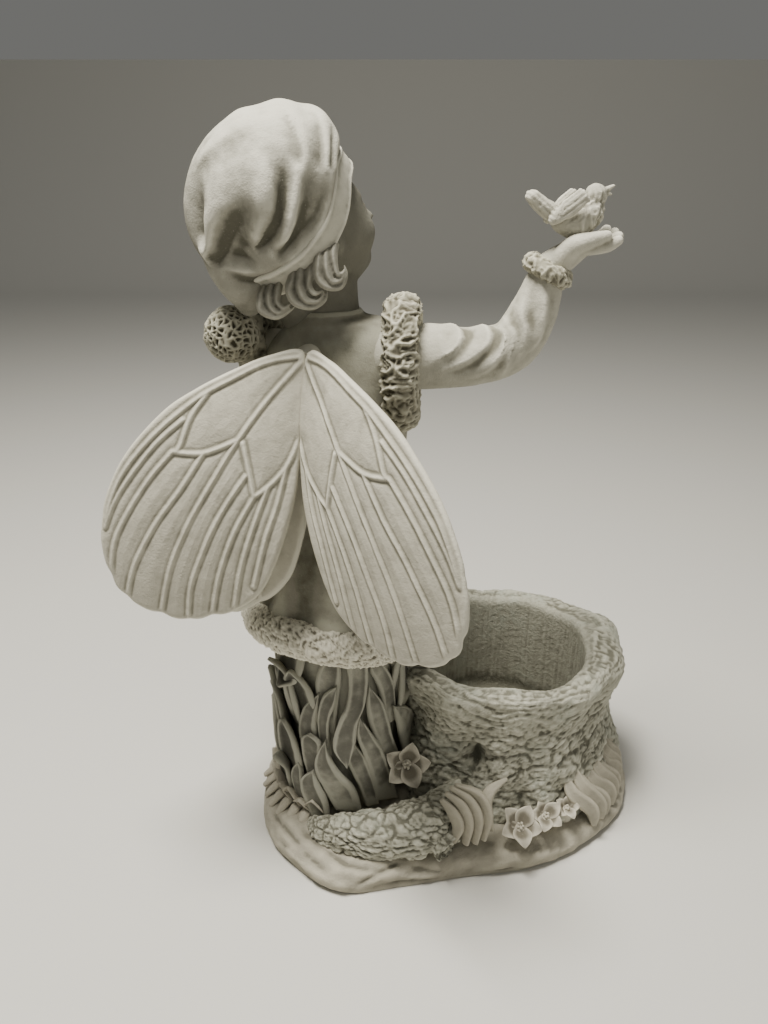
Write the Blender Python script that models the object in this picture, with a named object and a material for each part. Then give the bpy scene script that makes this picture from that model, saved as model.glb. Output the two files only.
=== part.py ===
"""Pixie garden statue: a seated, winged pixie with a bird on one raised hand, and a hollow stump to plant in.

The real work is one casting, so this is one solid. Each form is modelled as its own closed skin, and the skins
are fused by a voxel remesh, thinned to a sensible number of faces, cut flat below, and hollowed in the stump.
Lengths are in millimetres until the finished mesh is scaled to metres. +Z is up, the figure's back faces -Y,
the raised hand is towards +X, and the origin is on the underside, in the middle of the ground.
"""

import math

import bmesh
import bpy
import numpy as np
from mathutils import Matrix

# Ground that everything stands on
GROUND_LENGTH = 360.0
GROUND_DEPTH = 282.0
GROUND_THICKNESS = 24.0

# Hollow stump
STUMP_X = 48.0
STUMP_Y = 26.0
STUMP_HEIGHT = 155.0
BORE_RADIUS = 80.0
STUMP_WALL = 19.0
BORE_FLOOR = 40.0

# Leafy seat
SEAT_X = -95.0
SEAT_Y = -5.0
SEAT_TOP = 190.0
SEAT_RADIUS = 51.0
LEAF_WIDTH = 37.0
LEAVES_IN_A_TIER = 6

# Pixie, from the seat to the top of the hat
FIGURE_HEIGHT = 412.0
WING_LENGTH = 196.0
WING_THICKNESS = 7.0
VEIN_HEIGHT = 2.2
FUR_THICKNESS = 15.0

# Fineness of the solid
VOXEL = 2.3
TRIANGLES = 9000

# The pixie is drawn at this size and place, then moved to the seat at its real size
DRAWN_HEIGHT = 412.0
DRAWN_SEAT = np.array([-95.0, -5.0, 190.0])
DRAWN_WING_LENGTH = 196.0
DRAWN_ROOM = 166.0
FIGURE_SCALE = FIGURE_HEIGHT / DRAWN_HEIGHT
SEAT_POINT = np.array([SEAT_X, SEAT_Y, SEAT_TOP])
FUR = FUR_THICKNESS / FIGURE_SCALE

UP = np.array([0.0, 0.0, 1.0])
BODY_TURN = math.radians(70)
HEAD_TURN = math.radians(30)
HEAD_TILT = math.radians(24)


def heading(turn):
    """The level directions that a body turned this far from +X faces, and has on its right."""
    front = np.array([math.cos(turn), math.sin(turn), 0.0])
    return front, np.cross(front, UP)


BODY_FRONT, BODY_RIGHT = heading(BODY_TURN)
HEAD_LEVEL, HEAD_RIGHT = heading(HEAD_TURN)
HEAD_FRONT = math.cos(HEAD_TILT) * HEAD_LEVEL + math.sin(HEAD_TILT) * UP
HEAD_UP = np.cross(HEAD_RIGHT, HEAD_FRONT)


def unit(vector):
    vector = np.asarray(vector, float)
    return vector / np.linalg.norm(vector)


def drawn_height(height):
    """The height, among the pixie's drawn points, of a real height above the floor."""
    return DRAWN_SEAT[2] + (height - SEAT_TOP) / FIGURE_SCALE


def smooth_curve(points, count, closed=False):
    """A Catmull-Rom curve through the points, read at evenly spaced parameters."""
    points = np.asarray(points, float)
    total = len(points)
    last = total if closed else total - 1
    at = np.linspace(0, last, count, endpoint=not closed)
    start = np.minimum(at.astype(int), last - 1)
    t = (at - start)[:, None] if points.ndim > 1 else at - start

    def pick(offset):
        index = start + offset
        return points[index % total] if closed else points[np.clip(index, 0, total - 1)]

    a, b, c, d = pick(-1), pick(0), pick(1), pick(2)
    return 0.5 * (2 * b + (c - a) * t + (2 * a - 5 * b + 4 * c - d) * t**2 + (3 * b - a - 3 * c + d) * t**3)


def add_skin(casting, rings, looped=False):
    """Adds a closed skin over rings of points: its ends are capped, or the last ring meets the first."""
    verts = [[casting.verts.new(point) for point in ring] for ring in rings]
    around = len(rings[0])
    pairs = list(zip(verts, verts[1:]))
    if looped:
        pairs.append((verts[-1], verts[0]))
    for low, high in pairs:
        for i in range(around):
            j = (i + 1) % around
            casting.faces.new((low[i], low[j], high[j], high[i]))
    if not looped:
        casting.faces.new(reversed(verts[0]))
        casting.faces.new(verts[-1])


def section_axes(path, face):
    """Two directions across each point of a path, the second as near to the face direction as it can be."""
    along = np.gradient(path, axis=0)
    along /= np.linalg.norm(along, axis=1)[:, None]
    face = np.broadcast_to(face, path.shape)
    out = face - (face * along).sum(1)[:, None] * along
    out /= np.linalg.norm(out, axis=1)[:, None]
    return np.cross(along, out), out


def tube(casting, points, widths, face=UP, heights=None, around=16, steps=24, ridge=0.0):
    """A round-ended tube through the points. widths and heights are half sizes across it and along face."""
    path = smooth_curve(points, steps)
    wide = smooth_curve(widths, steps)
    high = wide if heights is None else smooth_curve(heights, steps)
    across, out = section_axes(path, face)
    turn = np.linspace(0, 2 * math.pi, around, endpoint=False)
    crest = 1 + ridge * np.clip(np.sin(turn), 0, 1) ** 8
    rings = (
        path[:, None]
        + across[:, None] * (wide[:, None] * np.cos(turn))[..., None]
        + out[:, None] * (high[:, None] * np.sin(turn) * crest)[..., None]
    )
    for end, inner in ((0, 1), (-1, -2)):
        away = unit(path[end] - path[inner])
        reach = min(wide[end], high[end])
        caps = [
            path[end] + (rings[end] - path[end]) * math.cos(angle) + away * reach * math.sin(angle)
            for angle in (0.5, 1.0, 1.4)
        ]
        rings = np.concatenate([caps[::-1], rings]) if end == 0 else np.concatenate([rings, caps])
    add_skin(casting, rings)


def ball(casting, centre, radii, axes=np.eye(3), bump=None, around=28, tall=18):
    """An ellipsoid. axes are its three directions, the last from pole to pole; bump moves its points."""
    turn = np.linspace(0, 2 * math.pi, around, endpoint=False)
    rise = np.linspace(-0.98, 0.98, tall) * math.pi / 2
    way = np.stack(
        [
            np.cos(rise)[:, None] * np.cos(turn),
            np.cos(rise)[:, None] * np.sin(turn),
            np.repeat(np.sin(rise)[:, None], around, 1),
        ],
        axis=-1,
    )
    points = np.asarray(centre) + (way * np.asarray(radii)) @ np.asarray(axes)
    if bump:
        points = bump(points, turn[None, :], rise[:, None])
    add_skin(casting, points)


def ring_tube(casting, points, thickness, height=None, count=72, around=12, lumps=0.0):
    """A closed roll, such as a fur trim, through a loop of points."""
    path = smooth_curve(points, count, closed=True)
    along = np.roll(path, -1, axis=0) - np.roll(path, 1, axis=0)
    along /= np.linalg.norm(along, axis=1)[:, None]
    outward = path - path.mean(axis=0)
    outward -= (outward * along).sum(1)[:, None] * along
    outward /= np.linalg.norm(outward, axis=1)[:, None]
    aside = np.cross(along, outward)
    turn = np.linspace(0, 2 * math.pi, around, endpoint=False)
    step = np.arange(count)[:, None]
    curl = 1 + lumps * np.sin(5 * turn + 1.9 * step) * np.sin(2.3 * step + 2 * turn)
    rings = (
        path[:, None]
        + outward[:, None] * (thickness * np.cos(turn) * curl)[..., None]
        + aside[:, None] * ((height or thickness) * np.sin(turn) * curl)[..., None]
    )
    add_skin(casting, rings, looped=True)


def ellipse(centre, first, second, count=16):
    """Points of an ellipse: the centre, and two half axes as vectors."""
    turn = np.linspace(0, 2 * math.pi, count, endpoint=False)[:, None]
    return np.asarray(centre) + np.cos(turn) * np.asarray(first) + np.sin(turn) * np.asarray(second)


def level_circle(x, y, radius, height, count=48):
    """Points of a level circle."""
    return ellipse((x, y, height), (radius, 0, 0), (0, radius, 0), count)


def bell(x, centre, width):
    """A smooth hump of height 1."""
    return np.exp(-(((x - centre) / width) ** 2))


# Ground and what grows on it


def ground_outline(count):
    """The uneven outline of the ground, as shares of its length and depth from the middle."""
    shares = [
        (-0.27, -0.455), (-0.13, -0.435), (0.02, -0.40), (0.20, -0.36), (0.36, -0.25), (0.47, -0.10),
        (0.50, 0.08), (0.46, 0.30), (0.32, 0.45), (0.10, 0.50), (-0.14, 0.52), (-0.34, 0.50),
        (-0.45, 0.36), (-0.475, 0.16), (-0.49, -0.03), (-0.47, -0.20), (-0.39, -0.36),
    ]
    points = [(x * GROUND_LENGTH, y * GROUND_DEPTH, 0.0) for x, y in shares]
    return smooth_curve(points, count, closed=True)


def ground(casting):
    """A low mound: its edge bulges over the foot line and then rolls in to the top."""
    edge = ground_outline(96)
    middle = edge.mean(axis=0)
    turn = np.linspace(0, 2 * math.pi, 96, endpoint=False)
    rough = 1 + 0.012 * np.sin(7 * turn) + 0.010 * np.sin(13 * turn + 1)
    below = 0.4
    steps = [
        (0.975, -below), (0.985, 0.12), (1.0, 0.3), (0.995, 0.5), (0.965, 0.68), (0.955, 0.72), (0.945, 0.86),
        (0.90, 1.0), (0.75, 1.1), (0.5, 1.2), (0.25, 1.25), (0.03, 1.25),
    ]
    rings = [
        middle + (edge - middle) * (1 + (rough - 1) * share)[:, None] * share + UP * GROUND_THICKNESS * height
        for share, height in steps
    ]
    add_skin(casting, rings)


def stump_radius(turn, height):
    """Outer radius of the stump at a bearing and a share of its height: its wall is thickest towards +X."""
    lip = BORE_RADIUS + STUMP_WALL * (1 + 0.75 * bell(np.angle(np.exp(1j * (turn - 0.15))), 0, 0.8))
    flare = (0.13 + 0.05 * np.sin(5 * turn + 0.6)) * (1 - height) ** 2.2
    bark = 0.018 * np.sin(11 * turn + 2 * np.sin(4 * height)) + 0.014 * np.sin(9 * height + 3 * turn)
    waist = -0.04 * bell(height, 0.62, 0.2) + 0.03 * bell(height, 0.95, 0.12)
    knot_hole = -0.13 * bell(turn, -1.87, 0.13) * bell(height, 0.58, 0.09)
    return lip * (1 + flare + bark + waist + knot_hole)


def stump(casting):
    """The tree stump, solid here; the bore is cut after the forms are fused."""
    turn = np.linspace(-math.pi, math.pi, 96, endpoint=False)
    rim = STUMP_HEIGHT + 3.0 * np.sin(3 * turn + 0.8) + 2.0 * np.sin(7 * turn)
    rings = []
    for share in np.linspace(0.06, 1.0, 24):
        radius = stump_radius(turn, share) * (1 - 0.035 * max(0.0, share - 0.93) / 0.07)
        rings.append(
            np.stack([STUMP_X + radius * np.cos(turn), STUMP_Y + radius * np.sin(turn), rim * share], axis=-1)
        )
    add_skin(casting, rings)


def from_stump(x, y, z):
    """A point so far from the stump's middle line, and so far above the ground."""
    return STUMP_X + x, STUMP_Y + y, GROUND_THICKNESS + z


def limb(casting):
    """The broken limb that lies along the near side and ends in the stump's foot, its stub, and other roots."""
    log = [(-171, -102, 1), (-152, -114, 6), (-126, -121, 10), (-98, -123, 14), (-74, -118, 17)]
    log = [from_stump(*point) for point in (*log, (-58, -106, 22), (-46, -90, 24))]
    tube(casting, log, [8, 15, 19, 22, 24, 21, 16], ridge=0.12, steps=34)
    stub = [(-72, -116, 16), (-62, -128, 13), (-53, -138, 9)]
    tube(casting, [from_stump(*point) for point in stub], [14, 13.5, 12.5])
    for bearing, reach in ((0.75, 124), (1.5, 114), (2.25, 112)):
        way = np.array([math.cos(bearing), math.sin(bearing), 0])
        foot = np.array(from_stump(0, 0, 0))
        root = [foot + way * BORE_RADIUS + UP * 38, foot + way * 112 + UP * 14, foot + way * reach]
        tube(casting, root, [20, 15, 8])


def leaf(casting, points, width, face, thickness=5.0, cup=0.24, rim=0.3):
    """A pointed blade, hollow along its middle, with a soft rim, along the points from stalk to tip."""
    steps = 14
    path = smooth_curve(points, steps)
    half = 0.5 * width * smooth_curve([0.85, 1.0, 1.0, 0.62, 0.10], steps)[:, None]
    thick = thickness * smooth_curve([1.0, 1.0, 0.95, 0.85, 0.5], steps)[:, None]
    across, out = section_axes(path, face)
    turn = np.linspace(0, 2 * math.pi, 16, endpoint=False)
    aside = np.sign(np.cos(turn)) * np.abs(np.cos(turn)) ** 0.75
    round_off = np.sqrt(np.clip(1 - aside**2, 0, 1))
    above = round_off**0.6 * (0.6 + rim * bell(np.abs(aside), 0.75, 0.3))
    level = np.where(np.sin(turn) > 0, above, -0.8 * round_off)
    lift = thick * level + cup * half * (np.abs(aside) ** 1.8 - 0.4)
    rings = path[:, None] + across[:, None] * (half * aside)[..., None] + out[:, None] * lift[..., None]
    add_skin(casting, rings)


# Each near leaf: how far out it lies, its tip's lean, and its left and right edges from stalk to tip,
# as bearings round the seat and heights
NEAR_LEAVES = [
    (1, 2, [(-1.95, 112), (-2.0, 151), (-1.96, 172), (-1.83, 186), (-1.66, 194)],
     [(-1.69, 112), (-1.6, 157), (-1.57, 174), (-1.59, 185), (-1.66, 194)]),
    (5, 3, [(-1.93, 92), (-1.94, 119), (-1.92, 139), (-1.83, 156), (-1.64, 166)],
     [(-1.76, 90), (-1.77, 118), (-1.74, 134), (-1.66, 150), (-1.64, 166)]),
    (5, 3, [(-0.90, 66), (-1.15, 115), (-1.22, 132), (-1.23, 148), (-1.19, 163)],
     [(-0.50, 56), (-0.77, 98), (-0.87, 122), (-0.99, 144), (-1.19, 163)]),
    (6, 3, [(-0.30, 45), (-0.59, 88), (-0.68, 106), (-0.75, 122), (-0.78, 133)],
     [(0.10, 40), (-0.08, 76), (-0.15, 98), (-0.44, 120), (-0.78, 133)]),
    (9, 3, [(-1.11, 40), (-1.22, 75), (-1.31, 98), (-1.39, 119), (-1.34, 137)],
     [(-0.71, 30), (-0.88, 67), (-1.02, 96), (-1.17, 116), (-1.34, 137)]),
    (2, 2, [(-0.86, 112), (-0.97, 146), (-1.07, 164), (-1.16, 177), (-1.1, 190)],
     [(-0.62, 112), (-0.70, 146), (-0.80, 165), (-0.94, 180), (-1.1, 190)]),
    (4, 4, [(-2.21, 82), (-2.3, 99), (-2.29, 115), (-2.17, 137), (-1.9, 156)],
     [(-1.94, 82), (-1.95, 108), (-1.96, 126), (-1.92, 142), (-1.9, 156)]),
    (12, 3, [(-1.71, 38), (-1.87, 63), (-1.95, 78), (-1.93, 95), (-1.79, 115)],
     [(-1.33, 36), (-1.43, 63), (-1.62, 82), (-1.74, 98), (-1.79, 115)]),
    (14, 3, [(-2.04, 24), (-2.12, 42), (-2.17, 55), (-2.14, 68), (-1.97, 80)],
     [(-1.76, 24), (-1.79, 48), (-1.86, 62), (-1.91, 70), (-1.97, 80)]),
    (10, 4, [(-2.28, 26), (-2.36, 44), (-2.40, 58), (-2.34, 70), (-2.22, 80)],
     [(-2.06, 26), (-2.12, 46), (-2.15, 60), (-2.17, 71), (-2.22, 80)]),
    (7, 2, [(-1.26, 34), (-1.37, 60), (-1.46, 76), (-1.52, 91), (-1.41, 106)],
     [(-1.04, 34), (-1.11, 56), (-1.19, 77), (-1.27, 93), (-1.41, 106)]),
    (8, 8, [(-2.11, 60), (-2.18, 81), (-2.19, 96), (-2.16, 108), (-2.02, 117)],
     [(-1.91, 60), (-1.87, 87), (-1.85, 99), (-1.87, 110), (-2.02, 117)]),
    (6, 14, [(-1.53, 198), (-1.48, 173), (-1.52, 148), (-1.64, 128), (-1.70, 106), (-1.52, 90)],
     [(-1.20, 198), (-1.20, 171), (-1.26, 146), (-1.36, 130), (-1.41, 110), (-1.52, 90)]),
]


# Each leaf of the far sides: bearing and height of its tip, belly and stalk, its width, and its tip's lean
SIDE_LEAVES = [
    (-2.46, 118, -2.50, 86, -2.52, 44, 34, 10), (-2.72, 172, -2.66, 142, -2.60, 104, 38, 12),
    (-2.32, 172, -2.28, 146, -2.26, 106, 34, 5), (-2.95, 138, -2.90, 108, -2.85, 68, 38, 11),
    (-2.60, 74, -2.66, 50, -2.70, 20, 28, 16), (-0.42, 192, -0.46, 168, -0.50, 132, 28, 4),
    (-2.55, 150, -2.50, 172, -2.45, 196, 34, 9), (-0.62, 120, -0.30, 156, -0.22, 194, 30, 4),
]


def on_seat(bearing, out, height):
    """A point at a bearing from the seat's middle line, out from its core, and at a height as drawn."""
    radius = SEAT_RADIUS + out
    level = GROUND_THICKNESS + (height - 24) * (SEAT_TOP - GROUND_THICKNESS) / DRAWN_ROOM
    x, y = SEAT_X + radius * np.cos(bearing), SEAT_Y + radius * np.sin(bearing)
    return np.stack(np.broadcast_arrays(x, y, level), -1)


def near_leaf(casting, lift, lean, left, right):
    """A leaf on the seat's near side, between two edges: its body bulges, and its edges have soft rims."""
    share = np.linspace(0, 1, 14)[:, None]
    left, right = (smooth_curve(edge, 14)[:, None] for edge in (left, right))
    turn = np.linspace(0, 2 * math.pi, 16, endpoint=False)
    x = np.sign(np.cos(turn)) * np.abs(np.cos(turn)) ** 0.8
    place = 0.5 * (left + right) + 0.5 * (right - left) * x[:, None]
    round_off = np.sqrt(np.clip(1 - x**2, 0, 1))
    front = 3.6 * round_off**0.8 + 1.1 * bell(x, -0.78, 0.26) + 1.9 * bell(x, 0.8, 0.24)
    out = np.where(np.sin(turn) > 0, front, -4 * round_off) * (1 - 0.45 * share**3)
    out = out + lift + 2.5 * np.sin(math.pi * share) + lean * share**3
    add_skin(casting, on_seat(place[..., 0], out, place[..., 1]))


def seat_leaves(casting):
    """Leaves that spring from the seat's core and lean out, the lower over the upper, and hanging ones."""
    for near in NEAR_LEAVES:
        near_leaf(casting, *near)
    leaves = list(SIDE_LEAVES)
    for tier, start in enumerate((0.0, 0.5, 0.0)):
        for n in range(LEAVES_IN_A_TIER):
            bearing = 0.15 + 0.56 * (n + start)
            stalk = 20 + 45 * tier
            leaves.append((bearing, stalk + 84, bearing - 0.05, stalk + 46, bearing - 0.1, stalk, 38, 12))
    for tip, tip_height, middle, middle_height, stalk, stalk_height, width, lean in leaves:
        ahead = 6 * max(0.0, min(1.0, (120 - stalk_height) / 100))
        places = (
            (stalk, stalk_height, -3), (0.5 * (stalk + middle), 0.5 * (stalk_height + middle_height), 2),
            (middle, middle_height, 5), (0.4 * middle + 0.6 * tip, 0.4 * middle_height + 0.6 * tip_height, 8),
            (tip, tip_height, lean + 2),
        )
        points = [on_seat(bearing, out + ahead, height) for bearing, height, out in places]
        leaf(casting, points, LEAF_WIDTH * width / 32, (math.cos(middle), math.sin(middle), 0.15), cup=0.1)


def seat(casting):
    """The leafy mound that the pixie sits on: a core and its leaves."""
    rings = []
    for share, radius in ((0, 0.98), (0.15, 0.98), (0.5, 1.0), (0.85, 1.02), (1.06, 1.03)):
        height = GROUND_THICKNESS - 8 + (SEAT_TOP - GROUND_THICKNESS + 8) * share
        rings.append(level_circle(SEAT_X, SEAT_Y, SEAT_RADIUS * radius, height))
    add_skin(casting, rings)
    seat_leaves(casting)


def flower(casting, centre, face, size, spin=0.4):
    """Five pointed petals round a small eye."""
    face = unit(face)
    side = unit(np.cross(face, (0.3, 0.1, 1)))
    up = np.cross(side, face)
    centre = np.asarray(centre, float)
    for n in range(5):
        turn = 2 * math.pi * n / 5 + spin
        way = side * math.cos(turn) + up * math.sin(turn)
        points = [centre - face * 2, centre + way * size * 0.5 + face * 2.5, centre + way * size + face * 4.4]
        tube(casting, points, [3, size * 0.42, 1.5], face, [3, 2.6, 1.6], around=10, steps=8)
    ball(casting, centre + face * 1.5, (3.2, 3.2, 3.2), around=8, tall=6)


# Strands of the tuft, from the stump's foot to the ground, as places from the stump's middle line
TUFT = [
    [(-59, -123, 50), (-51, -127, 42), (-46, -130, 30), (-49, -131, 16)],
    [(-55, -122, 56), (-44, -126, 48), (-38, -129, 33), (-39, -131, 13)],
    [(-51, -121, 61), (-38, -124, 52), (-30, -128, 36), (-31, -130, 13)],
    [(-47, -120, 63), (-30, -122, 55), (-22, -126, 39), (-24, -129, 16)],
]
CURLED_LEAF = [(-17, -124, 20), (-21, -125, 36), (-23, -124, 50), (-18, -121, 60), (-6, -116, 66)]


def plants(casting):
    """Flowers on the seat and on the ground, a curled tuft, drooping leaves at +X and low leaves at -X."""
    bloom = np.array(from_stump(-88, -83, 53))
    flower(casting, bloom, (0.1, -1, 0.45), 21, 0.25)
    tube(casting, [bloom + (0, 3, 0), bloom + (-24, 26, -8)], [5, 5], around=8, steps=4)
    for x, y, z, size, spin in ((9, -117, 15, 18.5, 0.5), (33, -107, 17, 15, 0.9), (53, -98, 17, 11, 0.2)):
        bloom = np.array(from_stump(x, y, z))
        flower(casting, bloom, (0.1, -0.7, 1), size, spin)
        tube(casting, [bloom - UP * 3, bloom + (0, 8, -16)], [6, 9], around=8, steps=4)
    for strand in TUFT:
        blade = [from_stump(*point) for point in strand]
        tube(casting, blade, [2.6, 4.8, 5.0, 3.4], (0.5, -1, 0.9), [3.6, 6.5, 6.5, 4], around=10)
    blade = [from_stump(*point) for point in CURLED_LEAF]
    tube(casting, blade, [3, 5, 6, 4.8, 2], (0.5, -1, 0.5), [3.2, 4.5, 5, 4, 2], around=10)
    foot = np.array(from_stump(0, 0, 0))
    for n in range(12):
        bearing = -0.88 + 0.13 * n
        start = bearing - 0.11
        root = np.array([math.cos(start), math.sin(start), 0])
        way = np.array([math.cos(bearing), math.sin(bearing), 0])
        side = np.cross(UP, way)
        high = 38 + 3.5 * math.sin(1.9 * n)
        blade = [
            foot + root * 101 + UP * (high + 3), foot + root * 112 - way * 1 + UP * (high - 9),
            foot + way * 121 + side * 3 + UP * 10, foot + way * 124 + side * 5 - UP * 7,
        ]
        tube(casting, blade, [3.5, 7.5, 8, 4], way + 0.8 * UP - 0.5 * side, [3, 5, 5, 4], around=10, steps=10)
    foot = np.array([SEAT_X, SEAT_Y, GROUND_THICKNESS])
    for n in range(6):
        bearing = 2.3 + 0.3 * n
        way = np.array([math.cos(bearing), math.sin(bearing), 0])
        blade = [foot + way * (SEAT_RADIUS - 2), foot + way * 64 + UP * 9, foot + way * 72 + UP * 24]
        tube(casting, blade, [9, 9, 3], way, [5, 5, 3], around=10, steps=10)


# Pixie


def torso_rings():
    """The tunic from hem to collar, as rings that stand on its shape at a few heights."""
    # Height, middle, half width, half depth, and how much the right side lifts
    rows = [
        (200, -103, -2, 74, 70, 0.0), (215, -103, -2, 73, 68, 0.0), (240, -102, -3, 64, 57, 0.0),
        (280, -101, -3, 55, 46, 0.0), (330, -99, -3, 55, 43, 0.02), (380, -97, -2, 58, 44, 0.05),
        (415, -97, -1, 61, 43, 0.12), (436, -98, -1, 57, 38, 0.17), (449, -100, -1, 43, 31, 0.16),
        (456, -101, -1, 29, 27, 0.06), (462, -101, -1, 24, 23, 0.0),
    ]
    turn = np.linspace(0, 2 * math.pi, 48, endpoint=False)
    rings = []
    for height, x, y, wide, deep, lift in smooth_curve(rows, 40):
        pleats = 1 + 0.03 * np.sin(9 * turn) * max(0.0, (300 - height) / 100)
        aside = (wide * np.cos(turn) * pleats)[:, None] * (BODY_RIGHT + UP * lift)
        ahead = (deep * np.sin(turn) * pleats)[:, None] * BODY_FRONT
        rings.append(np.array([x, y, height]) + aside + ahead)
    return rings


def hem_path():
    """The fur hem: it lies on the thighs in front, and over the seat's edge behind."""
    path = ellipse((-103, -2, 208), BODY_RIGHT * 68, BODY_FRONT * 64, 24)
    ahead = ((path - path.mean(axis=0)) @ BODY_FRONT) / 64
    aside = ((path - path.mean(axis=0)) @ BODY_RIGHT) / 68
    path[:, 2] += 16 * np.clip(ahead, 0, 1) ** 2 - 9 * np.clip(aside, 0, 1) + 2 * np.sin(4 * ahead)
    return path


def body(casting):
    """Tunic, its fur hem and armhole trims, the neck and the collar."""
    add_skin(casting, torso_rings())
    ring_tube(casting, hem_path(), FUR, FUR * 1.15, lumps=0.10)
    right_hole = ellipse((-47, -20, 425), UP * 38, (2, 26, 0))
    ring_tube(casting, right_hole, FUR * 0.93, lumps=0.12)
    left_hole = ellipse((-152, 20, 419), UP * 32 - BODY_RIGHT * 6, BODY_FRONT * 24)
    ring_tube(casting, left_hole, FUR * 0.8, lumps=0.12)
    tube(casting, [(-101, -1, 440), (-102, 1, 465), (-104, 4, 495)], [27, 23, 24], BODY_FRONT)


def sleeve(casting, points, widths, folds):
    """A sleeve with soft folds across it."""
    steps = 40
    line = smooth_curve(points, steps)
    wide = smooth_curve(widths, steps)
    across, out = section_axes(line, (0, -1, 0.2))
    turn = np.linspace(0, 2 * math.pi, 28, endpoint=False)
    share = np.linspace(0, 1, steps)[:, None]
    crease = 1 + 0.07 * np.sin(folds * share * math.pi + 1.3 * np.sin(turn) + 0.6) * np.sin(share * math.pi)
    rings = line[:, None] + wide[:, None, None] * crease[..., None] * (
        across[:, None] * np.cos(turn)[:, None] + out[:, None] * np.sin(turn)[:, None]
    )
    add_skin(casting, rings)


def hand(casting, wrist, palm, ahead, aside, curl):
    """A palm with four fingers and a thumb; ahead points along the fingers and aside away from the thumb."""
    wrist = np.asarray(wrist, float)
    palm = np.asarray(palm, float)
    ahead = unit(ahead)
    aside = unit(aside)
    face = unit(np.cross(ahead, aside))
    tube(casting, [wrist, 0.6 * wrist + 0.4 * palm, palm], [12, 12.5, 14], face, [11, 10.5, 8])
    tube(casting, [palm - ahead * 6, palm + ahead * 8], [14, 13.5], face, [7, 5.5])
    for n in range(4):
        root = palm + ahead * 8 + aside * 6.6 * (n - 1.4)
        tip = root + ahead * (17, 19, 18, 14)[n] + face * curl * (0.4 + 0.3 * n)
        finger = [root - ahead * 8, (root + tip) / 2 - face * 0.2 * curl, tip]
        tube(casting, finger, [5.2, 4.7, 3.6], face, around=10, steps=12)
    thumb = [
        wrist + 0.35 * (palm - wrist) - aside * 5, palm - ahead * 6 - aside * 11 + face * 0.3 * curl,
        palm + ahead * 4 - aside * 13.5 + face * 0.7 * curl, palm + ahead * 16 - aside * 13 + face * curl,
    ]
    tube(casting, thumb, [9, 7.4, 5.8, 3.8], face, around=10, steps=12)


def arms(casting):
    """The right arm reaches out to hold up the bird; the left rests on its knee."""
    reach = [(-58, -20, 430), (-25, -20, 430), (5, -20, 430), (34, -20, 438), (49, -20, 463), (56, -20, 490)]
    sleeve(casting, reach, [26, 25.5, 23, 21, 19, 14], 7)
    lean = unit((0.47, 0, 0.88))
    cuff = ellipse((56.5, -20, 491), np.cross(lean, (0, 1, 0)) * 13, np.array((0, 1, 0)) * 13)
    ring_tube(casting, cuff, FUR * 0.44, FUR * 0.46, count=36, around=10, lumps=0.1)
    hand(casting, (57, -20, 493), (77, -21, 507), (1, 0, 0.10), (0, 1, 0), 7)
    rest = [(-146, 18, 418), (-163, 34, 385), (-170, 52, 348), (-160, 78, 322), (-148, 98, 296)]
    sleeve(casting, rest, [25, 23, 21, 18, 14], 6)
    lean = unit((0.4, 0.6, -0.75))
    side = unit(np.cross(lean, UP))
    cuff = ellipse((-147, 99, 295), side * 13, np.cross(lean, side) * 13)
    ring_tube(casting, cuff, FUR * 0.44, count=36, around=10, lumps=0.1)
    hand(casting, (-146, 101, 293), (-134, 113, 274), (0.35, 0.45, -0.8), (-0.8, 0.6, 0), -3)


def legs(casting):
    """Legs bent over the front of the seat, in boots with turned-up toes that stand on the ground."""
    seat_top = drawn_height(SEAT_TOP)
    sole = drawn_height(GROUND_THICKNESS + 4)
    middle = (seat_top + sole) / 2
    for hip_x, knee_x, ankle_x, y in ((-128, -129, -131, 0), (-80, -82, -80, -4)):
        hip = (hip_x, 28 + y, seat_top + 26)
        thigh = (hip_x, 60 + y, seat_top + 27)
        knee = (knee_x, 92 + y, seat_top + 17)
        shin = ((knee_x + ankle_x) / 2, 102 + y, middle + 20)
        ankle = (ankle_x, 100 + y, sole + 26)
        tube(casting, [hip, thigh, knee, shin, ankle], [31, 29, 26, 21, 16], BODY_FRONT, steps=32)
        boot = [(ankle_x, 92 + y, sole + 10), (ankle_x, 114 + y, sole + 8), (ankle_x, 134 + y, sole + 7)]
        boot.append((ankle_x + 1, 143 + y, sole + 20))
        tube(casting, boot, [15, 16, 12, 4], UP, [13, 11, 9, 4])
        cuff = ellipse((ankle_x, 100 + y, sole + 50), (19, 0, 0), (0, 19, 2))
        ring_tube(casting, cuff, FUR * 0.42, count=36, around=10, lumps=0.1)


HEAD_MIDDLE = np.array([-112.0, 6.0, 518.0])
BAND_MIDDLE = np.array([-125.0, -1.0, 524.0])
BAND_FACING = unit((0.507, 0.600, -0.619))
BAND_UP = unit(UP - BAND_FACING * BAND_FACING[2])
BAND_SIDE = np.cross(BAND_FACING, BAND_UP)
HAT_MIDDLE = np.array([-136.5, -14.0, 539.5])
HAT_RADIUS = 57.0
HAT_GATHER = unit((-0.26, -0.40, -0.88))
HAT_LEAN = unit((1.0, 0.0, 1.0))
# Bearings round the band, how far ahead of its middle it lies there, and its half width
BAND_PLACES = [
    (0, 2, 7), (0.6, -9, 8), (1.1, -20, 10), (1.45, -15, 11),
    (1.8, -10, 9), (2.3, -6, 11), (2.8, -4, 12), (math.pi, -2, 11),
]


def band_place(turn):
    """How far ahead of its middle point the band lies, and its half width, at a bearing round it."""
    bearings, ahead, half = np.array(BAND_PLACES).T
    turn = np.abs(np.angle(np.exp(1j * turn)))
    return np.interp(turn, bearings, ahead), np.interp(turn, bearings, half)


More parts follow.
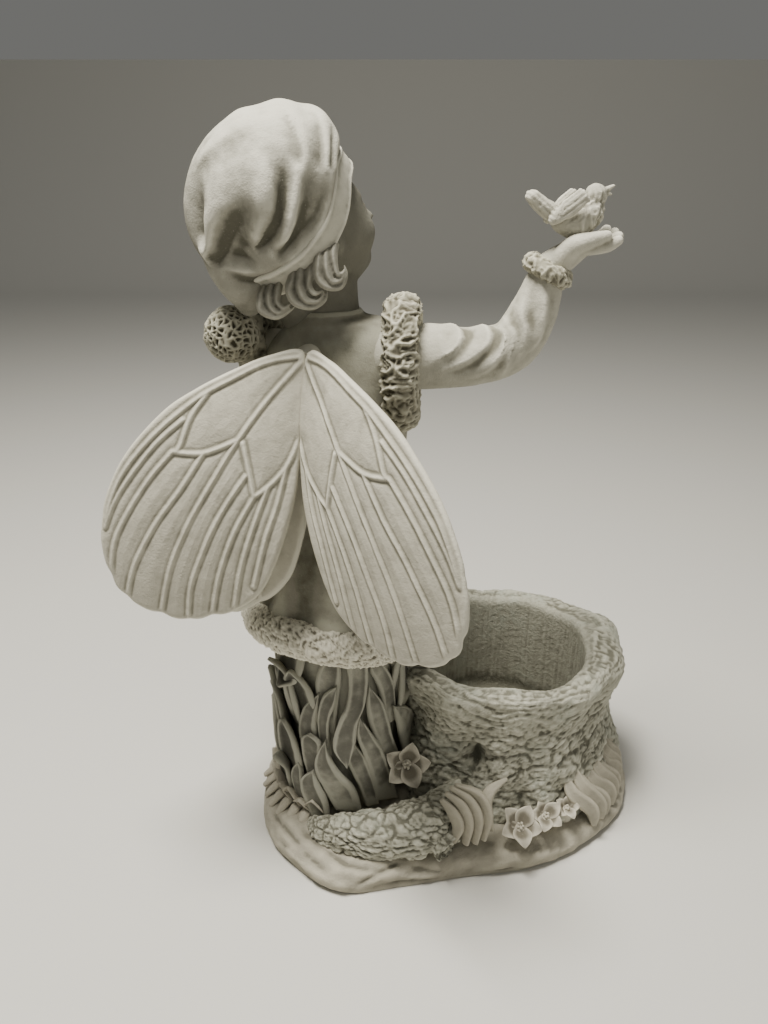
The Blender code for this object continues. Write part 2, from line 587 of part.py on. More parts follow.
def hat_shape(points, turn, rise):
    """Stretches the hat, folds it towards its gathered tail, and tucks it in behind the band."""
    pleat = np.abs(np.sin(4.5 * turn + 0.8 * rise + 0.4)) ** 1.5 - 0.5
    away = (points - HAT_MIDDLE) * (1 + 0.085 * pleat * bell(rise, math.pi / 2, 1.15))[..., None]
    away += HAT_MIDDLE + HAT_LEAN * (away @ HAT_LEAN * 0.17)[..., None] - BAND_MIDDLE
    depth = away @ BAND_FACING
    aside = away - BAND_FACING * depth[..., None]
    ahead, half = band_place(np.arctan2(aside @ BAND_SIDE, aside @ BAND_UP))
    room = 52 + 13 * np.sqrt(np.clip((ahead - half + 3 - depth) / 24, 0, 1))
    tucked = aside * np.minimum(1, room / np.linalg.norm(aside, axis=-1))[..., None]
    return BAND_MIDDLE + tucked + BAND_FACING * np.minimum(depth, ahead + 0.06 * (depth - ahead))[..., None]


def band(casting):
    """The hat's turned band, which follows the brow and runs down behind the ear to the nape."""
    turn = np.linspace(0, 2 * math.pi, 72, endpoint=False)
    ahead, half = band_place(turn)
    for _ in range(3):
        ahead, half = (0.5 * row + 0.25 * (np.roll(row, 1) + np.roll(row, -1)) for row in (ahead, half))
    outward = np.cos(turn)[:, None] * BAND_UP + np.sin(turn)[:, None] * BAND_SIDE
    path = BAND_MIDDLE + outward * (51.5 + 2 * np.cos(turn) ** 2)[:, None] + BAND_FACING * ahead[:, None]
    bend = np.linspace(0, 2 * math.pi, 14, endpoint=False)
    level = np.sign(np.sin(bend)) * np.abs(np.sin(bend)) ** 0.7
    out = 5 * np.sign(np.cos(bend)) * np.abs(np.cos(bend)) ** 0.5
    rings = path[:, None] + outward[:, None] * out[:, None] + BAND_FACING * (half[:, None] * level)[..., None]
    add_skin(casting, rings, looped=True)


# Each strand of the three curls at the nape, from the band down and round to its upturned end
STRANDS = [
    [(-104, -50, 500), (-104, -53, 491), (-99, -54, 485), (-90, -50, 484), (-86, -46, 491), (-87, -44, 497)],
    [(-99, -49, 502), (-98, -53, 494), (-95, -54, 488), (-89, -50, 489), (-87, -47, 495)],
    [(-94, -48, 505), (-93, -51, 498), (-91, -52, 492), (-87, -48, 494)],
    [(-122, -48, 489), (-124, -52, 482), (-120, -54, 474), (-109, -53, 471), (-101, -49, 475), (-99, -47, 481)],
    [(-117, -49, 491), (-117, -53, 484), (-113, -55, 476), (-105, -53, 475), (-101, -50, 481)],
    [(-110, -49, 493), (-111, -52, 485), (-107, -54, 480), (-102, -51, 482)],
    [(-145, -44, 475), (-144, -49, 468), (-135, -50, 464), (-127, -49, 467), (-121, -46, 471)],
    [(-139, -45, 478), (-138, -49, 471), (-133, -51, 467), (-125, -50, 470)],
    [(-133, -46, 480), (-133, -49, 474), (-129, -51, 470), (-124, -49, 473)],
]


# Each form of the face, the same on both sides: how far aside and above the head's middle, its reach, its height
FACE_FORMS = [
    (0, -11.5, 4.4, 4.8, 7.6), (0, -2, 3.4, 8.5, 3.2), (14.5, 0, 8.5, 6.0, -3.0), (14, -0.5, 5.8, 3.8, 3.6),
    (14.5, 8.5, 9.5, 2.8, 1.4), (20, -17, 12, 10, 3.4), (0, -20.6, 7.0, 2.0, 2.2), (0, -25, 5.6, 2.1, 2.2),
    (0, -37, 10, 8, 6.5),
]


def face_shape(points, turn, rise):
    """Swells the front of the head softly into a calm child's face of everyday proportions."""
    away = points - HEAD_MIDDLE
    aside, ahead, above = np.abs(away @ HEAD_RIGHT), away @ HEAD_FRONT, away @ HEAD_UP
    relief = sum(lift * bell(aside, a, wide) * bell(above, b, tall) for a, b, wide, tall, lift in FACE_FORMS)
    relief = relief * np.clip((ahead - 4) / 12, 0, 1)
    return points + away * (relief / np.linalg.norm(away, axis=-1))[..., None]


def hair(casting):
    """Three curls from under the band at the nape; the strands of each turn up together at the end."""
    for strand in STRANDS:
        root = np.array(strand[0]) + (1, 7, 5)
        tube(casting, [root, *strand], [2.4, 3, 3, 2.6, 2], (0, -1, 0), around=10, steps=16)


def head(casting):
    """Head, nape, curls, and the slouched hat with its band, gathered tail and bobble."""
    axes = np.stack([HEAD_RIGHT, HEAD_FRONT, HEAD_UP])
    ball(casting, HEAD_MIDDLE, (39, 42, 50), axes, face_shape, around=96, tall=64)
    for side in (-1, 1):
        ear = HEAD_MIDDLE + HEAD_RIGHT * side * 37 - HEAD_FRONT * 3 - HEAD_UP * 6
        ball(casting, ear, (4.5, 6.5, 9.5), axes, around=16, tall=12)
    tube(casting, [(-110, 4, 444), (-124, -3, 472), (-126, -5, 500)], [20, 20, 20], BODY_FRONT)
    hair(casting)
    side = unit(np.cross(HAT_GATHER, (0, 1, 0)))
    axes = np.stack([side, np.cross(HAT_GATHER, side), HAT_GATHER])
    ball(casting, HAT_MIDDLE, HAT_RADIUS * np.ones(3), axes, hat_shape, around=72, tall=40)
    band(casting)
    tail = [(-164, -24, 520), (-170, -32, 502), (-165, -34, 487), (-159, -31, 477), (-157, -22, 467)]
    tube(casting, tail, [27, 16, 13, 12, 9], (0, -1, 0), [27, 15, 11, 9, 8])
    tube(casting, [(-138, -24, 512), (-148, -26, 497), (-154, -30, 482)], [24, 17, 10], (0, -1, 0), [18, 14, 9])
    ball(casting, (-173, -13, 445), (20.5, 20.5, 20.5), around=20, tall=14)


# Wings

# A wing lies in a plane: each point is so far to its side of the root and so far below it
WING_OUTLINE = [
    (0, 0), (24, 3), (49, 13), (73, 25), (94, 38), (114, 57), (130, 77), (142, 101), (148, 124), (148, 146),
    (143, 165), (134, 178), (121, 187), (107, 192), (90, 196), (72, 193), (55, 189), (43, 182), (31, 170),
    (18, 142), (8, 110), (3, 82), (0, 54), (-2, 28),
]
WING_VEINS = [
    [(2, 4), (25, 8), (50, 20), (72, 32), (100, 54), (121, 76), (133, 94), (143, 118)],
    [(83, 47), (103, 64), (124, 89), (136, 107), (144, 124)],
    [(66, 29), (78, 46), (86, 66), (91, 69)],
    [(91, 69), (109, 89), (127, 115), (138, 136), (143, 160)],
    [(91, 69), (69, 70), (45, 61)],
    [(69, 70), (86, 95), (106, 121), (124, 152), (132, 176)],
    [(0, 6), (25, 34), (45, 61), (61, 86), (79, 115), (97, 152), (108, 190)],
    [(42, 63), (39, 78), (35, 101)],
    [(40, 86), (60, 115), (75, 146), (84, 169), (88, 194)],
    [(35, 101), (49, 125), (60, 152), (66, 173), (70, 192)],
    [(25, 94), (37, 125), (46, 152), (53, 184)],
    [(12, 80), (19, 107), (28, 132), (38, 168)],
    [(35, 101), (25, 94), (12, 80), (3, 62)],
]


def vein_relief(flat):
    """1 on a vein's crest, falling off within two millimetres either side."""
    nearest = np.full(flat.shape[:-1], 1e9)
    for vein in WING_VEINS:
        line = smooth_curve(vein, 4 * len(vein))
        for start, end in zip(line, line[1:]):
            step = end - start
            share = np.clip(((flat - start) @ step) / (step @ step), 0, 1)
            nearest = np.minimum(nearest, np.linalg.norm(flat - start - share[..., None] * step, axis=-1))
    return bell(nearest, 0, 2.1)


def wing(casting, root, out, down, back, scale=1.0, wide=1.0, veined=True):
    """A cupped, veined sheet. out and down span its plane, and back is the side that the veins stand on."""
    out, down, back = unit(out), unit(down), unit(back)
    outline = smooth_curve(WING_OUTLINE, 120, closed=True)
    middle = np.array([66.0, 104.0])
    shares = np.linspace(0.01, 1, 46) ** 0.9
    flat = middle + (outline - middle) * shares[:, None, None]
    thin = np.sqrt(np.clip(1 - shares[:, None] ** 10, 0, 1)) * 0.5 * WING_THICKNESS
    cup = 11 * (1 - (((flat - middle) / 95) ** 2).sum(-1))
    relief = VEIN_HEIGHT * vein_relief(flat) * veined
    size = WING_LENGTH / FIGURE_SCALE / DRAWN_WING_LENGTH * scale

    def place(height):
        return root + size * (flat[..., :1] * wide * out + flat[..., 1:] * down + height[..., None] * back)

    add_skin(casting, np.concatenate([place(cup + thin + relief), place(cup - thin)[::-1]]))


def wings(casting):
    """Fore wings swept back from the shoulders, and smaller hind wings between them and the body."""
    root = np.array([-116.6, -56.0, 441.6])
    lean = np.array([0, -0.22, -1])
    wing(casting, root, (-1, 0, 0), lean, (0, -1, 0.22), 1.0)
    sweep = math.radians(40)
    outward = np.array([math.cos(sweep), -math.sin(sweep), 0])
    wing(casting, root, outward, lean, np.array([-math.sin(sweep), -math.cos(sweep), 0.22]), wide=0.97)
    hind = root + (2, 18, -22)
    wing(casting, hind, (-0.62, 0.1, -0.25), (0.06, -0.18, -1), (0, -1, 0.2), 0.83, veined=False)
    wing(casting, hind, (0.6, -0.3, -0.2), (-0.05, -0.16, -1), (-0.5, -0.8, 0.2), 0.82, veined=False)
    tube(casting, [(-114, -34, 430), (-115, -44, 415), (-114, -46, 385)], [12, 13, 9], (0, -1, 0))


def bird(casting):
    """A small bird with a cocked, two-lobed tail and raised wings, standing in the palm."""
    y = -21
    tube(casting, [(64, y, 524), (74, y, 523), (82, y, 530)], [9.5, 12, 10], UP, [8, 11, 10])
    ball(casting, (85, y, 541), (7.6, 7.4, 7.6), around=16, tall=10)
    tube(casting, [(90, y, 542.5), (97, y, 544.5)], [2.8, 1.4], around=8, steps=4)
    for side in (-1, 1):
        tail = [(63, y + 3 * side, 526), (51, y + 3.5 * side, 533), (42, y + 4 * side, 540)]
        tube(casting, tail, [4.6, 5.2, 4.4], (0.5, 0, 1), [6.2, 5.6, 4.4], around=10, steps=10)
        lifted = [(55, y + side * 9, 525), (65, y + side * 12, 533), (74, y + side * 14, 541)]
        tube(casting, lifted, [3.4, 6.0, 5.4], (0, side, 0.3), [2.8, 3.2, 2.8], around=10, steps=10)
        leg = [(76, y + side * 4, 516), (76, y + side * 4, 508)]
        tube(casting, leg, [4.5, 4.5], BODY_FRONT, around=8, steps=4)


# Putting it together


def new_object(name, mesh):
    thing = bpy.data.objects.new(name, mesh)
    bpy.context.scene.collection.objects.link(thing)
    return thing


def cutter(name, rings):
    """A closed shape that only cuts."""
    made = bmesh.new()
    add_skin(made, [np.asarray(ring) * 0.001 for ring in rings])
    bmesh.ops.recalc_face_normals(made, faces=made.faces)
    mesh = bpy.data.meshes.new(name)
    made.to_mesh(mesh)
    made.free()
    thing = new_object(name, mesh)
    thing.hide_render = True
    thing.display_type = "WIRE"
    return thing


def bore_cutter():
    """The stump's hollow: a round bore with a rounded foot, which widens at the rim and passes it."""
    corner = 10.0
    steps = [(BORE_RADIUS - corner, BORE_FLOOR)]
    for angle in (30, 60, 90):
        bend = math.radians(angle)
        steps.append((BORE_RADIUS - corner * (1 - math.sin(bend)), BORE_FLOOR + corner * (1 - math.cos(bend))))
    steps += [(BORE_RADIUS, STUMP_HEIGHT - 12), (BORE_RADIUS + 4, STUMP_HEIGHT)]
    steps.append((BORE_RADIUS + 14, STUMP_HEIGHT + 14))
    return cutter("bore_cutter", [level_circle(STUMP_X, STUMP_Y, radius, height) for radius, height in steps])


def floor_cutter():
    """Everything below the surface that the statue stands on."""
    wide = GROUND_LENGTH
    square = np.array([(-wide, -wide), (wide, -wide), (wide, wide), (-wide, wide)])
    rings = [np.column_stack([square, np.full(4, z)]) for z in (-3 * GROUND_THICKNESS, 0.0)]
    return cutter("floor_cutter", rings)


def stone():
    """Pale grey cast stone."""
    material = bpy.data.materials.new("cast_stone")
    material.use_nodes = True
    shader = material.node_tree.nodes["Principled BSDF"]
    shader.inputs["Base Color"].default_value = (0.46, 0.45, 0.38, 1)
    shader.inputs["Roughness"].default_value = 0.85
    shader.inputs["Metallic"].default_value = 0.0
    return material


def fuse(statue):
    """One skin over all the forms, smoothed a little and thinned to the wanted number of triangles."""
    remesh = statue.modifiers.new("Fuse", "REMESH")
    remesh.mode = "VOXEL"
    remesh.voxel_size = VOXEL * 0.001
    soften = statue.modifiers.new("Soften", "SMOOTH")
    soften.factor = 0.5
    soften.iterations = 2
    bpy.context.view_layer.update()
    fused = statue.evaluated_get(bpy.context.evaluated_depsgraph_get()).to_mesh()
    fused.calc_loop_triangles()
    thin = statue.modifiers.new("Thin", "DECIMATE")
    thin.ratio = TRIANGLES / len(fused.loop_triangles)
    thin.use_collapse_triangulate = True


def cut(statue, tool):
    boolean = statue.modifiers.new("Cut by " + tool.name, "BOOLEAN")
    boolean.operation = "DIFFERENCE"
    boolean.solver = "EXACT"
    boolean.object = tool


def main():
    for thing in list(bpy.data.objects):
        bpy.data.objects.remove(thing)
    casting = bmesh.new()
    for form in (body, arms, legs, head, wings, bird):
        form(casting)
    to_seat = Matrix.Translation(SEAT_POINT) @ Matrix.Scale(FIGURE_SCALE, 4) @ Matrix.Translation(-DRAWN_SEAT)
    bmesh.ops.transform(casting, matrix=to_seat, verts=casting.verts)
    for form in (ground, stump, limb, seat, plants):
        form(casting)
    bmesh.ops.transform(casting, matrix=Matrix.Scale(0.001, 4), verts=casting.verts)
    bmesh.ops.recalc_face_normals(casting, faces=casting.faces)
    mesh = bpy.data.meshes.new("pixie_statue")
    casting.to_mesh(mesh)
    casting.free()
    statue = new_object("pixie_statue", mesh)
    mesh.materials.append(stone())
    fuse(statue)
    cut(statue, floor_cutter())
    cut(statue, bore_cutter())


main()
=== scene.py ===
"""Pixie garden statue, cast in one piece: the fine surface of every form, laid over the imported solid.

Lengths are in millimetres until a form is made into a mesh. +Z is up, the figure's winged back faces -Y, the
raised hand and the hollow stump are towards +X, and the origin is in the middle of the underside.
"""

import itertools
import math

import bpy
import numpy as np
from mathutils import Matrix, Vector


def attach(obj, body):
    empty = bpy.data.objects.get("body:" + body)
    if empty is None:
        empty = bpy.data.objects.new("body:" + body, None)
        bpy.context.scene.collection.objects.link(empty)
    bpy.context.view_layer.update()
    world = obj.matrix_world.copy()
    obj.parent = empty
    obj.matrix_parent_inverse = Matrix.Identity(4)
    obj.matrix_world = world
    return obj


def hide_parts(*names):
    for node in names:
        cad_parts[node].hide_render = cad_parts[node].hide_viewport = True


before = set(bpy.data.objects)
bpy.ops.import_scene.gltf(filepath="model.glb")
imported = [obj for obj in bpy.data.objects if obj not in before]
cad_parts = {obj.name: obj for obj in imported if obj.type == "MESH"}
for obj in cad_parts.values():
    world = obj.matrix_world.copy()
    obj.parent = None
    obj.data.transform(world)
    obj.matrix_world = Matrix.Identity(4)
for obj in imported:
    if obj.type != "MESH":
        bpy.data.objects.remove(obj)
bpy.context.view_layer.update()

# Sizes that the solid has too
GROUND_LENGTH = 360.0
GROUND_DEPTH = 282.0
GROUND_THICKNESS = 24.0
STUMP_X = 48.0
STUMP_Y = 26.0
STUMP_HEIGHT = 155.0
BORE_RADIUS = 80.0
STUMP_WALL = 19.0
BORE_FLOOR = 40.0
SEAT_X = -95.0
SEAT_Y = -5.0
SEAT_TOP = 190.0
SEAT_RADIUS = 51.0
WING_THICKNESS = 7.0
FUR = 15.0

UP = np.array([0.0, 0.0, 1.0])


def heading(turn):
    """The level directions that a body turned this far from +X faces, and has on its right."""
    front = np.array([math.cos(turn), math.sin(turn), 0.0])
    return front, np.cross(front, UP)


BODY_FRONT, BODY_RIGHT = heading(math.radians(70))
HEAD_LEVEL, HEAD_RIGHT = heading(math.radians(30))
HEAD_TILT = math.radians(24)
HEAD_FRONT = math.cos(HEAD_TILT) * HEAD_LEVEL + math.sin(HEAD_TILT) * UP
HEAD_UP = np.cross(HEAD_RIGHT, HEAD_FRONT)


# Curves, humps and noise

# A turn that keeps the noise's cells from lying along the axes
SKEW = np.array([[0.36, 0.48, -0.80], [-0.80, 0.60, 0.00], [0.48, 0.64, 0.60]])


def unit(vector):
    """The vector at a length of 1."""
    vector = np.asarray(vector, float)
    return vector / np.linalg.norm(vector)


def outwards(bearing):
    """The level direction at a bearing from +X."""
    return np.array([math.cos(bearing), math.sin(bearing), 0])


def circle(count):
    """Angles at even steps round a circle."""
    return np.linspace(0, 2 * math.pi, count, endpoint=False)


def squarer(values, power):
    """Each value from -1 to 1 raised to a power, with its sign kept: it makes a round section squarer."""
    return np.sign(values) * np.abs(values) ** power


def smooth_curve(points, count, closed=False):
    """A Catmull-Rom curve through the points, read at evenly spaced parameters."""
    points = np.asarray(points, float)
    total = len(points)
    last = total if closed else total - 1
    at = np.linspace(0, last, count, endpoint=not closed)
    start = np.minimum(at.astype(int), last - 1)
    t = (at - start)[:, None] if points.ndim > 1 else at - start

    def pick(offset):
        """The points that lie so many places after each start."""
        index = start + offset
        return points[index % total] if closed else points[np.clip(index, 0, total - 1)]

    a, b, c, d = pick(-1), pick(0), pick(1), pick(2)
    return 0.5 * (2 * b + (c - a) * t + (2 * a - 5 * b + 4 * c - d) * t**2 + (3 * b - a - 3 * c + d) * t**3)


def bell(x, centre, width):
    """A smooth hump of height 1: e to the minus square of the distance from its centre in widths."""
    return np.exp(-(((x - centre) / width) ** 2))


def rising(x, low, high):
    """0 below low, 1 above high, and between them an S: three squares less two cubes of the way."""
    t = np.clip((x - low) / (high - low), 0, 1)
    return t * t * (3 - 2 * t)


def lattice(cell, seed):
    """A repeatable value from 0 to 1 for each whole-numbered cell."""
    mixed = cell[..., 0] * 374761393 + cell[..., 1] * 668265263 + cell[..., 2] * 974634777 + seed * 144665
    mixed = ((mixed ^ (mixed >> 13)) & 0x7FFFFFFF) * 1274126177
    return ((mixed ^ (mixed >> 16)) & 0xFFFFFF) / 0xFFFFFF


def noise(points, size, seed=0):
    """Smooth noise from -1 to 1 with lumps about size across, which may differ by direction.

    Each point's value is the mean of the values at its cell's eight corners, weighted by how near they are.
    """
    at = points / np.asarray(size, float) @ SKEW
    cell = np.floor(at).astype(np.int64)
    t = at - cell
    t = t * t * (3 - 2 * t)
    total = 0.0
    for corner in itertools.product((0, 1), repeat=3):
        corner = np.array(corner)
        total = total + np.prod(np.where(corner, t, 1 - t), axis=-1) * lattice(cell + corner, seed)
    return 2 * total - 1


def rough(points, size, octaves=3, seed=0):
    """Noise with finer and weaker noise on it."""
    size = np.asarray(size, float)
    return sum(noise(points, size / 2.1**n, seed + 7 * n) / 1.8**n for n in range(octaves))


def seam(points, size, seed, sharp):
    """Wandering lines: 1 where noise passes 0, and falling off beside it, the faster the sharper they are."""
    return np.exp(-sharp * np.abs(noise(points, size, seed)))


def warped(points, size, reach, seed=0):
    """The points, each moved by noise."""
    return points + reach * np.stack([noise(points, size, seed + n) for n in range(3)], axis=-1)


def cells(points, size, seed=0):
    """Distances to the nearest and second nearest of one random spot in each cell of the size."""
    at = points / np.asarray(size, float)
    cell = np.floor(at).astype(np.int64)
    near = np.full(at.shape[:-1], 9.0)
    second = near.copy()
    for step in itertools.product((-1, 0, 1), repeat=3):
        spot = cell + np.array(step)
        gap = np.linalg.norm(at - spot - np.stack([lattice(spot, seed + n) for n in range(3)], -1), axis=-1)
        second = np.minimum(second, np.maximum(near, gap))
        near = np.minimum(near, gap)
    return near, second


def along_line(points, line, normals=None):
    """Each point's distance to a line of points, its share along it, and its side seen from outside."""
    nearest = np.full(points.shape[:-1], 1e9)
    share = np.zeros_like(nearest)
    side = np.zeros_like(nearest)
    for n, (start, end) in enumerate(zip(line, line[1:])):
        step = end - start
        part = np.clip(((points - start) @ step) / (step @ step), 0, 1)
        away = points - start - part[..., None] * step
        gap = np.linalg.norm(away, axis=-1)
        closer = gap < nearest
        nearest = np.where(closer, gap, nearest)
        share = np.where(closer, (n + part) / (len(line) - 1), share)
        if normals is not None:
            side = np.where(closer, (np.cross(step, away) * normals).sum(-1), side)
    return nearest, share, np.sign(side)


def folds(points, normals, lines, taper=0.0):
    """Relief of cloth folds: bells of the distance to each line, faded at the line's ends.

    Each line has a height, and the widths of its left and right flanks. The flanks narrow by the taper along
    the line, and a steep flank ends in a small dip.
    """
    height = np.zeros(len(points))
    for rise, left, right, path in lines:
        line = smooth_curve(path, 6 * len(path))
        gap, share, side = along_line(points, line, normals)
        steep = np.where(side > 0, left, right)
        width = steep * (1.2 * taper + 1 - 2 * taper * share * (taper > 0))
        fade = rising(share, -0.02, 0.25 + taper) * rising(1 - share, -0.02, 0.3 - 0.3 * taper)
        dip = 0.35 * bell(gap, 2.2 * width, 1.2 * width) * (steep < 0.7 * max(left, right))
        height += rise * (bell(gap, 0, width) - dip) * fade
    return height


def curls(points, size, seed=0, reach=0.5):
    """Sharp crests that wander and loop like strands of wool, about a size apart.

    They stand where the sum of two noises, read at points that noise has moved, passes 0.
    """
    turned = points / np.asarray(size, float) @ SKEW
    moved = turned + reach * np.stack([noise(turned, 1.3, seed + n) for n in range(3)], axis=-1)
    value = noise(moved, 1.0, seed) + noise(moved @ SKEW, 1.15, seed + 5)
    return np.exp(-np.sqrt(value**2 + 0.004) * 3.4) * 1.2


# Forms


class Form:
    """A closed skin of the casting: points in millimetres, and faces with four and with three corners."""

    def __init__(self, *grids, looped=False):
        self.points = np.zeros((0, 3))
        self.quads = np.zeros((0, 4), int)
        self.tris = np.zeros((0, 3), int)
        for grid in grids:
            self.add(grid, looped)

    def add(self, grid, looped=False):
        """Adds a grid of rings: its ends close in a pole each, or the last ring meets the first."""
        rows, columns = grid.shape[:2]
        index = np.arange(rows * columns).reshape(rows, columns)
        index = np.concatenate([index, index[:, :1]], 1)
        if looped:
            index = np.concatenate([index, index[:1]])
        quads = np.stack([index[:-1, :-1], index[:-1, 1:], index[1:, 1:], index[1:, :-1]], -1).reshape(-1, 4)
        points = grid.reshape(-1, 3)
        tris = np.zeros((0, 3), int)
        if not looped:
            points = np.concatenate([points, [grid[0].mean(0), grid[-1].mean(0)]])
            low, high = np.full(columns, len(points) - 2), np.full(columns, len(points) - 1)
            first = np.stack([low, index[0, 1:], index[0, :-1]], -1)
            tris = np.concatenate([first, np.stack([high, index[-1, :-1], index[-1, 1:]], -1)])
        a, b, c, d = (points[quads[:, n]] for n in range(4))
        volume = (np.cross(c - a, d - b) * (a + b + c + d)).sum()
        if volume < 0:
            quads, tris = quads[:, ::-1], tris[:, ::-1]
        return self.take(points, quads, tris)

    def take(self, points, quads, tris):
        """Takes in a skin's points, and its faces, which count from the first of them."""
        self.quads = np.concatenate([self.quads, quads + len(self.points)])
        self.tris = np.concatenate([self.tris, tris + len(self.points)])
        self.points = np.concatenate([self.points, points])
        return self

    def join(self, other):
        """Takes another form's skin in."""
        return self.take(other.points, other.quads, other.tris)

    def spread(self, values, corners):
        """Sums the faces' values at their corners."""
        return np.stack([np.bincount(corners, values[:, n], len(self.points)) for n in range(3)], -1)

    def normals(self):
        """The outward direction at each point, from the faces round it."""
        a, b, c, d = (self.points[self.quads[:, n]] for n in range(4))
        flat = np.cross(c - a, d - b)
        total = sum(self.spread(flat, self.quads[:, n]) for n in range(4))
        if len(self.tris):
            a, b, c = (self.points[self.tris[:, n]] for n in range(3))
            flat = np.cross(b - a, c - a)
            total = total + sum(self.spread(flat, self.tris[:, n]) for n in range(3))
        return total / np.maximum(np.linalg.norm(total, axis=1), 1e-9)[:, None]

    def push(self, height):
        """Moves each point outwards by its height."""
        self.points = self.points + self.normals() * np.asarray(height)[..., None]
        return self

    def crease(self, lines):
        """Puts cloth folds on the skin."""
        return self.push(folds(self.points, self.normals(), lines))

    def rise(self, passes=14):
        """How far each point stands above the skin round it, in millimetres."""
        ends = np.concatenate([np.roll(self.quads, -n, 1)[:, :2] for n in range(4)])
        ends = np.concatenate([ends, *(np.roll(self.tris, -n, 1)[:, :2] for n in range(3))])
        count = np.maximum(np.bincount(ends[:, 0], minlength=len(self.points)), 1)[:, None]
        soft = self.points
        for _ in range(passes):
            soft = 0.5 * soft + 0.5 * self.spread(soft[ends[:, 1]], ends[:, 0]) / count
        return ((self.points - soft) * self.normals()).sum(1)

    def mesh(self, name):
        """The form as a mesh, in metres."""
        mesh = bpy.data.meshes.new(name)
        mesh.from_pydata((self.points * 0.001).tolist(), [], self.quads.tolist() + self.tris.tolist())
        return mesh

    def fused(self, voxel, passes=3):
        """One skin over all of the form's closed skins, evened out."""
        thing = new_object("fused", self.mesh("fused"))
        remesh = thing.modifiers.new("Fuse", "REMESH")
        remesh.mode = "VOXEL"
        remesh.voxel_size = voxel * 0.001
        soften = thing.modifiers.new("Soften", "SMOOTH")
        soften.factor = 0.5
        soften.iterations = passes
        bpy.context.view_layer.update()
        made = bpy.data.meshes.new_from_object(thing.evaluated_get(bpy.context.evaluated_depsgraph_get()))
        whole = Form()
        whole.points = np.empty((len(made.vertices), 3))
        made.vertices.foreach_get("co", whole.points.ravel())
        whole.points *= 1000
        corners = np.empty(len(made.loops), int)
        made.loops.foreach_get("vertex_index", corners)
        sides = np.empty(len(made.polygons), int)
        made.polygons.foreach_get("loop_total", sides)
        first = np.cumsum(sides) - sides
        whole.quads = corners[first[sides == 4][:, None] + np.arange(4)]
        whole.tris = corners[first[sides == 3][:, None] + np.arange(3)]
        bpy.data.objects.remove(thing)
        bpy.data.meshes.remove(made)
        return whole

    def make(self, name, material, passes=14):
        """Makes the form a smooth piece of the statue, keeping its rise and upward side for painted shade and
        light.
        """
        mesh = self.mesh(name)
        mesh.shade_smooth()
        for kept, values in (("rise", self.rise(passes)), ("upward", self.normals()[:, 2])):
            mesh.attributes.new(kept, "FLOAT", "POINT").data.foreach_set("value", values.astype(np.float32))
        mesh.materials.append(material)
        piece = new_object(name, mesh)
        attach(piece, "root")
        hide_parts("pixie_statue")


def new_object(name, mesh):
    """An object in the scene, at the origin."""
    thing = bpy.data.objects.new(name, mesh)
    bpy.context.scene.collection.objects.link(thing)
    return thing


def section_axes(path, face, looped=False):
    """Two directions across each point of a path, the second as near to the face direction as it can be."""
    along = np.roll(path, -1, 0) - np.roll(path, 1, 0) if looped else np.gradient(path, axis=0)
    along /= np.linalg.norm(along, axis=1)[:, None]
    face = np.broadcast_to(face, path.shape)
    out = face - (face * along).sum(1)[:, None] * along
    out /= np.linalg.norm(out, axis=1)[:, None]
    return np.cross(along, out), out


def carried(path, across, x, out, y):
    """Rings along a path: each point lies x along the first direction across it, and y along the second."""
    return path[:, None] + across[:, None] * x[..., None] + out[:, None] * y[..., None]


def tube(points, widths, face=UP, heights=None, around=32, steps=48, ridge=0.0):
    """A round-ended tube: an ellipse carried along a smooth curve through the points.

    widths and heights are its half sizes across and along face, and a ridge sharpens its top.
    """
    path = smooth_curve(points, steps)
    wide = smooth_curve(widths, steps)
    high = wide if heights is None else smooth_curve(heights, steps)
    across, out = section_axes(path, face)
    turn = circle(around)
    crest = 1 + ridge * np.clip(np.sin(turn), 0, 1) ** 8
    rings = carried(path, across, wide[:, None] * np.cos(turn), out, high[:, None] * np.sin(turn) * crest)
    for end, inner in ((0, 1), (-1, -2)):
        away = unit(path[end] - path[inner])
        reach = min(wide[end], high[end])
        caps = [
            path[end] + (rings[end] - path[end]) * math.cos(angle) + away * reach * math.sin(angle)
            for angle in np.linspace(0.2, 1.5, 6)
        ]
        rings = np.concatenate([caps[::-1], rings]) if end == 0 else np.concatenate([rings, caps])
    return rings


def globe(around, tall):
    """Longitudes, and latitudes in a column, from just over one pole to just under the other."""
    return circle(around), np.linspace(-0.985, 0.985, tall)[:, None] * math.pi / 2


def ball(centre, radii, axes=np.eye(3), around=64, tall=44):
    """An ellipsoid by longitude and latitude. axes are its three directions, the last from pole to pole."""
    turn, rise = globe(around, tall)
    level = np.cos(rise)
    way = np.stack(np.broadcast_arrays(level * np.cos(turn), level * np.sin(turn), np.sin(rise)), -1)
    return np.asarray(centre) + (way * np.asarray(radii)) @ np.asarray(axes)


def roll(points, thickness, height=None, count=240, around=64):
    """A closed roll, such as a fur trim: an ellipse carried round a loop of points."""
    path = smooth_curve(points, count, closed=True)
    aside, outward = section_axes(path, path - path.mean(axis=0), looped=True)
    turn = circle(around)
    return carried(path, outward, thickness * np.cos(turn), aside, (height or thickness) * np.sin(turn))


def ellipse(centre, first, second, count=24):
    """Points of an ellipse: the centre, and two half axes as vectors."""
    turn = circle(count)[:, None]
    return np.asarray(centre) + np.cos(turn) * np.asarray(first) + np.sin(turn) * np.asarray(second)


def fur(form, pitch, depth, seed):
    """Crumpled wool: curls at the pitch, plus finer curls at about half of it, on rough lumps."""
    pitch = np.asarray(pitch, float)
    height = curls(form.points, pitch, seed) + 0.55 * curls(form.points, 0.55 * pitch, seed + 9) - 0.7
    return form.push(depth * (height + 0.4 * rough(form.points, 2.6 * pitch.mean(), 2, seed)))


# Ground and what grows on it


